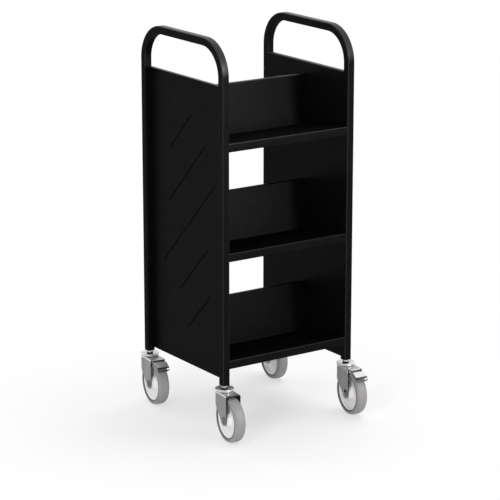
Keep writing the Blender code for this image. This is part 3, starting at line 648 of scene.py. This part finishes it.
def dress_body():
    """Tubes, panels and shelves, each in place of its solid."""
    for side, outward in (("left", -1), ("right", 1)):
        node = f"side_tube_{side}"
        shell, polish = tube_shell(node)
        piece(f"bent_tube_{side}", [shell], "frame", "powder_coat", node, polish=polish)
        node = f"side_panel_{side}"
        shell, marks = panel_shell(node, outward)
        piece(f"pressed_panel_{side}", [shell], "frame", "powder_coat", node, **marks)
    for face, facing in (("front", -1), ("rear", 1)):
        for level, use in SHELF_USE.items():
            node = f"shelf_{face}_{level}"
            shell, polish = shelf_shell(node, facing)
            piece(f"folded_{node}", [shell], "frame", "powder_coat", node, polish=use * polish)


# Castors, each about its own stem

def castor_place(corner):
    """Function that brings a skin to where the castor stands: stem + x axle + y back + z up."""
    stem = np.array(JOINTS[f"swivel_{corner}"]["pos_m"]) * (1, 1, 0)
    axle = np.array(JOINTS[f"wheel_{corner}"]["axis"])
    back = np.cross((0, 0, 1), axle)
    turn = np.stack([axle, back, (0, 0, 1)])
    return lambda shell: (stem + shell[0] @ turn, *shell[1:])


AXLE_Z = JOINTS["wheel_front_left"]["pos_m"][2]
AXLE = (0, -TRAIL, AXLE_Z)
CROWN_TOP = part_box("fork_front_left")[1][2]
CUP_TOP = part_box("swivel_cup_front_left")[1][2]
RACE_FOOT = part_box("lower_race_front_left")[0][2]
POST_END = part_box("side_tube_left")[0][2]
SEAL_FOOT = CUP_TOP - DISH_DEPTH + GAP
SEAL_TOP = SEAL_FOOT + SEAL_HEIGHT
PIN = np.array((-TRAIL - PIN_FORWARD, JOINTS[f"brake_pedal_{BRAKED[0]}"]["pos_m"][2]))


def profile(corners, steps=6):
    """Closed profile from corners (radius, distance, rounding) in mm."""
    c = np.asarray(corners, float) * MM
    return rounded(c[:, :2], c[:, 2], steps)


def both_sides(half):
    """Corners of one side followed by the same ones on the other side."""
    half = np.asarray(half, float)
    return np.vstack([half, (half * (1, -1, 1))[::-1]])


def tyre_shell():
    """Tyre and where its points take painted shade: flat tread, round shoulders, and sides with painted shade in
    an inner ring by the rim, turned about the axle."""
    half = [
        (49.6, 12.9, 0.3), (50.2, 15.7, 0.4), (52, 16, 0.6), (54, 16, 0.6),
        (56, 15.8, 1), (58, 15.3, 1.5), (60.2, 14, 2.5), (62.5, 8, 12),
    ]
    section = profile(both_sides(half))
    # Painted shade on the tyre's sides next to the rim, fading out towards the tread.
    painted_shade = eased(section[:, 0], *TYRE_SHADE_RING)
    rings = turned(section[:, 0], section[:, 1], "X", WHEEL_SIDES, AXLE)
    return skin(rings, wrap=True), np.repeat(painted_shade, WHEEL_SIDES)


def rim_shell():
    """Wheel centre and where its points take painted shade: conical hub, low web with painted shade that leaves
    the hub lighter, and lipped rim, turned about the axle."""
    half = [
        (7.5, 19.1, 0.5), (12.8, 19.1, 1.4), (21.8, 7.4, 0.8), (22.6, 6, 0.8),
        (44.8, 6, 1.6), (46.4, 12.9, 1), (49.2, 13.3, 0.3),
    ]
    section = profile(both_sides(half))
    # Painted shade on the web, which leaves the hub lighter as if more lit.
    painted_shade = (section[:, 0] > SHADED_WEB[0]) & (section[:, 0] < SHADED_WEB[1])
    rings = turned(section[:, 0], section[:, 1], "X", WHEEL_SIDES, AXLE)
    return skin(rings, wrap=True), np.repeat(painted_shade, WHEEL_SIDES)


def thread(radius, start, end, pitch, depth, sides=ROUND_SIDES, rings_per_turn=6):
    """Radii and distances of a screw thread: radius - depth times a wave of distance / pitch - angle,
    with the angle counted in turns."""
    d = np.linspace(start, end, max(2, int(abs(end - start) / pitch * rings_per_turn)))
    a = np.linspace(0, 1, sides, endpoint=False)
    wave = 0.5 - 0.5 * np.cos(2 * math.pi * (d[:, None] / pitch - a[None, :]))
    return radius - depth * wave, d


def axle_bolt_shell():
    """Bolt along the axle and where its points take painted shade: dished and chamfered hexagon head on a cone
    washer, both with painted shade, most at the head's sides, shank, threaded end."""
    seat = FORK_HALF + BOSS_RISE + GAP
    face = seat - BOSS_RISE + AXLE_HEAD
    tail = seat - BOSS_RISE + AXLE_TAIL
    limit = np.array([0, 3.4, 3.9, 5.9, 6.6, 7.6, 7.6]) * MM
    depth = np.array([0.5, 0.5, 0, 0, 0.4, 1.1, 3.4]) * MM
    head = hex_rings(limit, depth - face, AXLE_HEX, "X", AXLE)
    washer_radius = np.array([8.4, 10.4, 10.7, 10.4, 4, 4]) * MM
    washer_place = np.array([-1.9, -0.9, -0.5, 0, 0]) * MM - seat
    washer = turned(washer_radius, [*washer_place, seat], "X", centre=AXLE)
    radius, distance = thread(AXLE_RADIUS, seat + 0.2 * MM, tail - 0.8 * MM, AXLE_PITCH, AXLE_THREAD)
    screw = turned(radius, distance, "X", centre=AXLE)
    tip = turned(np.array([3.5, 2.9, 0]) * MM, [tail - 0.6 * MM, tail, tail], "X", centre=AXLE)
    rings = np.concatenate([head, washer, screw, tip])
    # Painted shade on the rings of the head, then on those of the washer that show
    shown = np.array([0.5, 0.5, 0.6, 0.6, 0.8, 0.9, 0.9, 0.8, 0.8, 0.8, 0.8])
    painted_shade = np.zeros(rings.shape[:2])
    painted_shade[:len(shown)] = shown[:, None]
    return skin(rings, capped=False), painted_shade.ravel()


def axle_nut_shell():
    """Locking nut: a chamfered hexagon with a round collar, bored for the bolt."""
    seat = FORK_HALF + GAP
    limit = np.array([4.3, 6.2, 7.0, 7.6, 7.6, 6.6, 5.9, 5.6, 5.2, 4.5, 4.3]) * MM
    distance = seat + np.array([0, 0, 0.3, 0.8, 4.0, 4.6, 4.7, 6.0, 6.4, 6.5, 6.2]) * MM
    return skin(hex_rings(limit, distance, AXLE_HEX, "X", AXLE), wrap=True)


def stem_shell():
    """Castor stem: king pin head under the crown, neck, chamfered hexagon collar under the post, and
    thread above."""
    head = CROWN_TOP - FORK_SHEET - GAP
    collar = POST_END - GAP
    screw_top = POST_END + STEM_REACH
    below = turned(np.array([0, 4, 7.6, 9, 9, 5.8]) * MM, head - np.array([5, 5, 4.6, 3.6, 0, 0]) * MM, "Z")
    limit = np.array([5.8, 7.4, 8.4, 9.4, 9.4, 8.4, 5.8]) * MM
    rise = [*(SEAL_TOP + np.array([0, 0, 0.4, 1.2]) * MM), *(collar - np.array([1.2, 0.5, 0]) * MM)]
    hexagon = hex_rings(limit, rise, COLLAR_HEX, "Z", (0, 0, 0))
    radius, up = thread(STEM_RADIUS, POST_END, screw_top, STEM_PITCH, STEM_THREAD)
    tip = turned([0.0], [screw_top], "Z")
    return skin(np.concatenate([below, hexagon, turned(radius, up, "Z"), tip]), capped=False)


def seal_shell():
    """Seal round the neck, in the dish under the collar: a sloping ring turned about the stem."""
    section = profile([(6.1, 0, 0.2), (9.2, 0, 0.6), (8.2, 4.8, 0.9), (6.1, 4.8, 0.2)])
    return skin(turned(section[:, 0], SEAL_FOOT + section[:, 1], "Z"), wrap=True)


def cup_shell():
    """Dished upper race: a brim round a low floor and a skirt over the balls, turned about the stem."""
    dish = -DISH_DEPTH / MM
    skirt = (RACE_FOOT + SKIRT_LIFT - CUP_TOP) / MM
    section = profile([
        (6.1, dish, 0.2), (12, dish, 1.8), (19.2, -0.5, 2.2), (24.6, 0, 0.8), (26.2, -0.5, 0.5),
        (26.2, -1.9, 0.5), (24.9, -2.4, 0.3), (24.9, skirt, 0.4), (23.4, skirt, 0.4), (23.4, -1.5, 0.3),
        (18, -1.5, 0.8), (11.5, dish - 1.5, 0.6), (6.1, dish - 1.5, 0.2),
    ])
    return skin(turned(section[:, 0], CUP_TOP + section[:, 1], "Z", RACE_SIDES), wrap=True)


def race_shell():
    """Lower race: a rolled ring on a cone, with a groove for the balls, turned about the stem."""
    section = profile([
        (15.5, 0, 0.4), (21.5, 0, 0.4), (24.4, 1.2, 0.4), (25.3, 1.7, 0.4), (25.3, 2.9, 0.5),
        (23.3, 2.9, 0.3), (22.7, 1.5, 0.3), (19.3, 1.5, 0.3), (18.7, 2.9, 0.3), (15.5, 2.9, 0.5),
    ])
    return skin(turned(section[:, 0], RACE_FOOT + section[:, 1], "Z", RACE_SIDES), wrap=True)


# Forks: the middle of the sheet is a channel in front that runs out into a round back about the stem

MID_HALF = FORK_HALF - FORK_SHEET / 2
MID_RADIUS = HEAD_RADIUS - FORK_SHEET / 2


def back_start(offset):
    """How far in front of the stem the round back starts, and the angle there, on a skin that lies an
    offset outside the middle of the sheet: where its circle meets its flat side."""
    radius = MID_RADIUS + offset
    start = np.sqrt(radius**2 - (MID_HALF + offset) ** 2)
    return start, np.arcsin(start / radius)


def round_back(along, offset, share):
    """Width, as a share of the channel's, and y of points that lie along the sheet from the front:
    straight on up to the round back, then on a circle about the stem. Where share is 0 the sheet
    stays flat."""
    start, angle = back_start(offset)
    radius = MID_RADIUS + offset
    swing = np.maximum((along + start) / radius - angle, -angle)
    width = 1 + share * (radius * np.cos(swing) / (MID_HALF + offset) - 1)
    y = along + share * (radius * np.sin(swing) - along)
    return np.where(along > -start, width, 1), np.where(along > -start, y, along)


def fork_section():
    """Middle of the sheet as (x, z) from the end of one leg over the crown to the other: rows are
    close round the axle, in the apron and in the folds."""
    level = CROWN_TOP - FORK_SHEET / 2
    swing = np.linspace(-math.pi / 2, 0, 18)
    apron = CROWN_TOP - CROWN_APRON - APRON_ROWS
    above = [np.linspace(AXLE_Z + MM, apron, 56), np.linspace(apron, level - FORK_FOLD, 10)]
    leg = np.unique(np.round(np.concatenate([AXLE_Z + LEG_END * np.sin(swing), *above]), 6))
    fold = arc((MID_HALF - FORK_FOLD, level - FORK_FOLD), FORK_FOLD, 0, math.pi / 2, 8)[1:]
    crown = np.linspace(MID_HALF - FORK_FOLD, 0, 16)[1:]
    half = np.vstack([
        np.stack([np.full(len(leg), MID_HALF), leg], 1), fold,
        np.stack([crown, np.full(len(crown), level)], 1),
    ])
    return np.vstack([half, (half[:-1] * (-1, 1))[::-1]])


def fork_ends(z):
    """Where the sheet starts and ends along its rows, at heights on the legs and the crown: straight
    in front, round about the axle, slanted behind it up to the shoulder, upright to the apron, and
    all the way round the back above that."""
    up = z - AXLE_Z
    half_round = np.sqrt(np.clip(LEG_END**2 - up**2, 0, None))
    front = np.where(up < 0, -TRAIL - half_round, -FORK_FRONT)
    shoulder = np.array((LEG_REAR + TRAIL, LEG_SHOULDER))
    tangent = math.atan2(shoulder[1], shoulder[0]) - math.acos(LEG_END / np.linalg.norm(shoulder))
    touch = LEG_END * np.array((math.cos(tangent), math.sin(tangent)))
    slant = touch[0] + (shoulder[0] - touch[0]) * (up - touch[1]) / (shoulder[1] - touch[1])
    rear = np.where(up < touch[1], half_round, np.minimum(slant, shoulder[0])) - TRAIL
    start, angle = back_start(0)
    along = MID_RADIUS * (np.arcsin(rear.clip(-start) / MID_RADIUS) + angle) - start
    rear = np.where(rear > -start, along, rear)
    whole = MID_RADIUS * (math.pi / 2 + angle) - start
    apron = CROWN_TOP - CROWN_APRON
    in_apron = eased(z - apron, *APRON_EASE)
    return front, rear + (whole - rear) * in_apron


def fork_shell(braked):
    """Fork and where its points take painted shade: rows of the section, each from the sheet's front edge to its
    rear edge, with a skin half the sheet to either side that closes in round both edges, and a pressed boss round
    the axle. The legs take painted shade, the crown less and the folds none, and the cut edges and the inner skin
    take it in full."""
    section = fork_section()
    run = unit(np.gradient(section, axis=0))
    normal = np.stack([run[:, 1], -run[:, 0]], 1)
    x, z = section[:, :1], section[:, 1:]
    front, rear = fork_ends(section[:, 1])
    t = 0.5 - 0.5 * np.cos(np.linspace(0, math.pi, 48))
    along = front[:, None] + (rear - front)[:, None] * t
    share = eased(z, *BACK_RISE)
    from_axle = np.hypot(along + TRAIL, z - AXLE_Z)
    boss = eased(from_axle, BOSS_RADIUS, BOSS_RADIUS - BOSS_WALL) * BOSS_RISE
    close = np.sqrt(np.clip(1 - np.abs(2 * t - 1) ** EDGE_POWER, 0, 1))

    def face(side):
        offset = np.broadcast_to(side * close * FORK_SHEET / 2, along.shape)
        width, y = round_back(along, offset, share)
        lift = offset + boss * np.abs(normal[:, :1])
        return np.stack([(x + normal[:, :1] * lift) * width, y, z + normal[:, 1:] * lift], -1)

    # Painted shade: the legs and crown are darkened for the dark surroundings they mirror, and the cut edges and
    # inner skin for the shade in the gaps between fork and tyre.
    on_leg = eased(np.abs(normal[:, :1]), FLAT_FROM, 1)
    on_crown = eased(normal[:, 1:], FLAT_FROM, 1)
    cut_edge_shade = eased(close, *CUT_EDGE_SHADE)
    painted_shade = np.maximum(SHEET_PAINTED_SHADE * on_leg + CROWN_PAINTED_SHADE * on_crown, cut_edge_shade)
    painted_shade = np.concatenate([painted_shade, np.ones(painted_shade.shape)], 1).ravel()
    sheet = skin(np.concatenate([face(1), face(-1)[:, ::-1]], 1))
    if not braked:
        return [sheet], painted_shade
    tongue, lip = tongue_shell()
    return [sheet, tongue], np.concatenate([painted_shade, lip])


def tongue_shell():
    """Tongue in front of a braked fork's crown and where its points take painted shade: a strip that turns down
    and in at its front, to a lip with painted shade."""
    level = CROWN_TOP - FORK_SHEET / 2
    tip = -(FORK_FRONT + TONGUE_LENGTH)
    root, end = (TONGUE_ROOT - FORK_FRONT, level), (tip + TONGUE_FOLD, CROWN_TOP - TONGUE_DEPTH)
    path = bent([root, (tip, level), end], TONGUE_FOLD)
    rings = strip(path, TONGUE_HALF, TONGUE_SHEET)
    # Painted shade on the lip that turns down under the tongue's front.
    lip = eased(level - path[:, 1], *TONGUE_LIP_SHADE)
    return skin(rings), np.repeat(lip, rings.shape[1])


def brake_pin_shell():
    """Brake pin: a rod across the fork with a domed head on each side."""
    seat = FORK_HALF + PIN_PLAY
    half_radius = np.array([0, 1.1, 1.9, 2.3, 2.3, 1.5]) * MM
    half_distance = seat + np.array([1.4, 1.3, 0.95, 0.4, 0, 0]) * MM
    radius = np.concatenate([half_radius, half_radius[::-1]])
    distance = np.concatenate([-half_distance, half_distance[::-1]])
    return skin(turned(radius, distance, "X", PIN_SIDES, (0, *PIN)), capped=False)


def eye_shell(first, last):
    """Eye of a brake sheet: a ring turned about the pin, from one distance along it to another."""
    bore, rim = EYE_RADII
    rings = turned([bore, rim, rim, bore], [first, first, last, last], "X", PIN_SIDES, (0, *PIN))
    return skin(rings, wrap=True)


def pedal_shell():
    """Brake pedal and where its points take painted shade: an eye on the pin, a narrow arm, a wide sloping tread
    and a front edge with painted shade that turns down and in. The width eases from the arm's to the tread's."""
    upper = PIN + PEDAL_START
    front = upper - PEDAL_LENGTH * np.array((math.cos(PEDAL_SLOPE), math.sin(PEDAL_SLOPE)))
    corners = [PIN + (PEDAL_ROOT, 0), PIN - (PEDAL_ARM, 0), upper, front, front + PEDAL_EDGE]
    path = resampled(bent(corners, PEDAL_FOLD), step=1.2 * MM)
    widening = eased(PIN[0] - path[:, 0], *PEDAL_WIDENS)
    half_width = ARM_HALF + (PEDAL_HALF - ARM_HALF) * widening
    rings = strip(path, half_width, BRAKE_SHEET)
    # Painted shade on the front edge that turns down and in.
    edge = eased(path[:, 1] - front[1], *EDGE_SHADE)
    eye = eye_shell(-PEDAL_EYE, PEDAL_EYE)
    return [skin(rings), eye], np.concatenate([np.repeat(edge, rings.shape[1]), np.zeros(len(eye[0]))])


def shoe_shell():
    """Brake shoe and where its points take painted shade: two eyes on the pin, a leaf with painted shade that
    follows the tyre at a widening gap, and a narrow toe at its right end with full painted shade. The leaf is set
    by the angle about the axle."""
    angle = np.linspace(*LEAF_ANGLES, LEAF_ROWS)
    radius = np.linspace(*LEAF_RADII, LEAF_ROWS)
    leaf = np.stack([-TRAIL - radius * np.sin(angle), AXLE_Z + radius * np.cos(angle)], 1)
    leaf = np.vstack([PIN + SHOE_ROOT, leaf])
    reach = np.linspace(0, TOE_LENGTH, TOE_ROWS)[:, None]
    toe = np.vstack([leaf[-2], leaf[-1] + reach * (-math.cos(TOE_SLOPE), math.sin(TOE_SLOPE))])
    round_end = np.clip(np.linspace(-TOE_STRAIGHT, 1, len(toe)), 0, 1)
    toe_half = TOE_HALF * np.sqrt(1 - (1 - TOE_END**2) * round_end**2)
    near, far = SHOE_EYES
    arm = (near + far) / 2
    shells = [
        skin(strip(resampled(leaf[LEAF_START:], step=1.5 * MM), SHOE_HALF, BRAKE_SHEET)),
        skin(strip(toe, toe_half, BRAKE_SHEET, middle=SHOE_HALF - TOE_HALF)),
        *(skin(strip(leaf[:ARM_END], SHOE_ARM_HALF, BRAKE_SHEET, middle=m)) for m in (-arm, arm)),
        eye_shell(-far, -near),
        eye_shell(near, far),
    ]
    # Painted shade: some on the leaf, full on the toe, none on the arms and eyes.
    return shells, np.repeat((SHEET_PAINTED_SHADE, 1, 0, 0, 0, 0), [len(shell[0]) for shell in shells])


def dress_castors():
    """Pieces of the four castors, each in place of its solid. What is alike is worked out once."""
    tyre, tyre_painted_shade = tyre_shell()
    rim, rim_painted_shade = rim_shell()
    bolt, bolt_painted_shade = axle_bolt_shell()
    # Node, piece, body, slot, skins, painted shade at their points
    plain = [
        ("tyre", "tread", "wheel", "tyre_rubber", [tyre], tyre_painted_shade),
        ("wheel_rim", "wheel_centre", "wheel", "wheel_plastic", [rim], rim_painted_shade),
        ("axle_bolt", "washer_bolt", "swivel", "plated_steel", [bolt], bolt_painted_shade),
        ("axle_nut", "locking_nut", "swivel", "plated_steel", [axle_nut_shell()], None),
        ("lower_race", "rolled_race", "swivel", "zinc_plate", [race_shell()], None),
        ("swivel_cup", "dished_cup", "frame", "zinc_plate", [cup_shell()], None),
        ("castor_stem", "threaded_stem", "frame", "plated_steel", [stem_shell()], None),
        ("castor_stem", "neck_seal", "frame", "black_steel", [seal_shell()], None),
    ]
    brakes = [
        ("brake_pin", "domed_pin", "swivel", "plated_steel", [brake_pin_shell()], None),
        ("brake_pedal", "pressed_pedal", "brake_pedal", "zinc_plate", *pedal_shell()),
        ("brake_shoe", "sprung_shoe", "brake_shoe", "zinc_plate", *shoe_shell()),
    ]
    for corner in CORNERS:
        place = castor_place(corner)
        braked = corner in BRAKED
        fork = ("fork", "pressed_fork", "swivel", "zinc_plate", *fork_shell(braked))
        for kind, name, body, slot, shells, painted_shade in [*plain, fork, *(brakes if braked else [])]:
            rides_on = body if body == "frame" else f"{body}_{corner}"
            placed = [place(shell) for shell in shells]
            marks = {} if painted_shade is None else {"painted_shade": painted_shade}
            piece(f"{name}_{corner}", placed, rides_on, slot, f"{kind}_{corner}", **marks)


# Stage

FLOOR_HALF = 40.0              # half the floor's width
FADE = (0.3, 1.2)              # distances from the middle between which the floor fades to white
FADE_LEAST = 0.55              # share of white under the object
SURROUND_LIGHT = 0.68          # strength of the surround as light
SURROUND_SEEN = 1.0            # and where it is seen
CAMERA_PLACE = (-3.4023, -4.9721, 2.0943)
CAMERA_YAW = math.radians(34.276)
CAMERA_PITCH = math.radians(15.148)
CAMERA_LENS = 161.84
CAMERA_SENSOR = 36.0


def seen_rays(nodes, links):
    """1 for rays that show the background: those of the camera, of mirror images and through glass."""
    rays = nodes.new("ShaderNodeLightPath").outputs
    seen = rays["Is Camera Ray"]
    for kind in ("Is Glossy Ray", "Is Transmission Ray"):
        seen = calculate(nodes, links, "MAXIMUM", seen, rays[kind])
    return seen


def floor_finish():
    """Pale floor with a soft shadow near the object that fades to white far from it."""
    material = bpy.data.materials.new("pale_floor")
    material.use_nodes = True
    nodes, links = material.node_tree.nodes, material.node_tree.links
    shader = nodes["Principled BSDF"]
    shader.inputs["Base Color"].default_value = (0.86, 0.855, 0.86, 1)
    shader.inputs["Roughness"].default_value = 0.6
    shader.inputs["Specular IOR Level"].default_value = 0.1
    place = nodes.new("ShaderNodeTexCoord")
    reach = nodes.new("ShaderNodeVectorMath")
    reach.operation = "LENGTH"
    links.new(place.outputs["Object"], reach.inputs[0])
    fade = nodes.new("ShaderNodeMapRange")
    fade.interpolation_type = "SMOOTHSTEP"
    fade.inputs["From Min"].default_value = FADE[0]
    fade.inputs["From Max"].default_value = FADE[1]
    fade.inputs["To Min"].default_value = FADE_LEAST
    links.new(reach.outputs["Value"], fade.inputs["Value"])
    shown = calculate(nodes, links, "MULTIPLY", fade.outputs["Result"], seen_rays(nodes, links))
    white = nodes.new("ShaderNodeEmission")
    white.inputs["Strength"].default_value = 1.0
    mix = nodes.new("ShaderNodeMixShader")
    links.new(shown, mix.inputs["Fac"])
    links.new(shader.outputs["BSDF"], mix.inputs[1])
    links.new(white.outputs["Emission"], mix.inputs[2])
    links.new(mix.outputs["Shader"], nodes["Material Output"].inputs["Surface"])
    return material


def make_floor():
    """One wide square at the height of the wheels' feet."""
    points = np.array([(-1, -1, 0), (1, -1, 0), (1, 1, 0), (-1, 1, 0)]) * FLOOR_HALF
    mesh = bpy.data.meshes.new("floor")
    mesh.from_pydata(points, [], [(0, 1, 2, 3)])
    mesh.materials.append(floor_finish())
    floor = bpy.data.objects.new("floor", mesh)
    bpy.context.scene.collection.objects.link(floor)


def make_world():
    """White where it is seen, directly or mirrored, and a softer grey as light."""
    world = bpy.data.worlds.new("studio")
    world.use_nodes = True
    bpy.context.scene.world = world
    nodes, links = world.node_tree.nodes, world.node_tree.links
    background = nodes["Background"]
    background.inputs["Color"].default_value = (1, 1, 1, 1)
    level = nodes.new("ShaderNodeMapRange")
    level.inputs["To Min"].default_value = SURROUND_LIGHT
    level.inputs["To Max"].default_value = SURROUND_SEEN
    links.new(seen_rays(nodes, links), level.inputs["Value"])
    links.new(level.outputs["Result"], background.inputs["Strength"])


def aim_euler(aim):
    """Turn that points an object's -Z along aim with its X level: pitch from straight down, then yaw."""
    flat = math.hypot(aim[0], aim[1])
    return (math.pi / 2 + math.atan2(aim[2], flat), 0, math.atan2(aim[1], aim[0]) - math.pi / 2)


def area_light(name, place, target, width, height, power, highlights=False):
    """Lamp that the camera doesn't see. It gives soft light, or else highlights alone."""
    light = bpy.data.lights.new(name, "AREA")
    light.shape = "RECTANGLE"
    light.size, light.size_y = width, height
    light.energy = power
    lamp = bpy.data.objects.new(name, light)
    lamp.location = place
    aim = np.asarray(target, float) - np.asarray(place, float)
    lamp.rotation_euler = aim_euler(aim)
    lamp.visible_camera = False
    lamp.visible_diffuse = not highlights
    lamp.visible_glossy = highlights
    bpy.context.scene.collection.objects.link(lamp)


def make_lights():
    """Four soft lamps round the trolley and one in front for highlights."""
    area_light("overhead", (1.3, 0.2, 3.0), (0.3, 0, 0.3), 2.4, 2.4, 45)
    area_light("rear", (-0.8, 3.0, 1.9), (0, 0, 0.5), 2.5, 1.6, 22)
    area_light("left_front", (-2.4, -1.4, 1.05), (0, 0, 0.4), 0.5, 2.0, 34)
    area_light("right_front", (1.7, -2.6, 0.95), (0, 0, 0.7), 1.6, 1.9, 22)
    area_light("front", (0.88, -2.87, 1.4), (0, 0, 0.7), 0.45, 1.4, 92, highlights=True)


def make_camera():
    """Camera without a shift, turned by yaw and tilted down by pitch."""
    data = bpy.data.cameras.new("camera")
    data.sensor_width = CAMERA_SENSOR
    data.lens = CAMERA_LENS
    camera = bpy.data.objects.new("camera", data)
    camera.location = CAMERA_PLACE
    camera.rotation_euler = (math.pi / 2 - CAMERA_PITCH, 0, -CAMERA_YAW)
    bpy.context.scene.collection.objects.link(camera)
    bpy.context.scene.camera = camera


dress_body()
dress_castors()
make_floor()
make_world()
make_lights()
make_camera()
bpy.context.scene.view_settings.view_transform = "Standard"
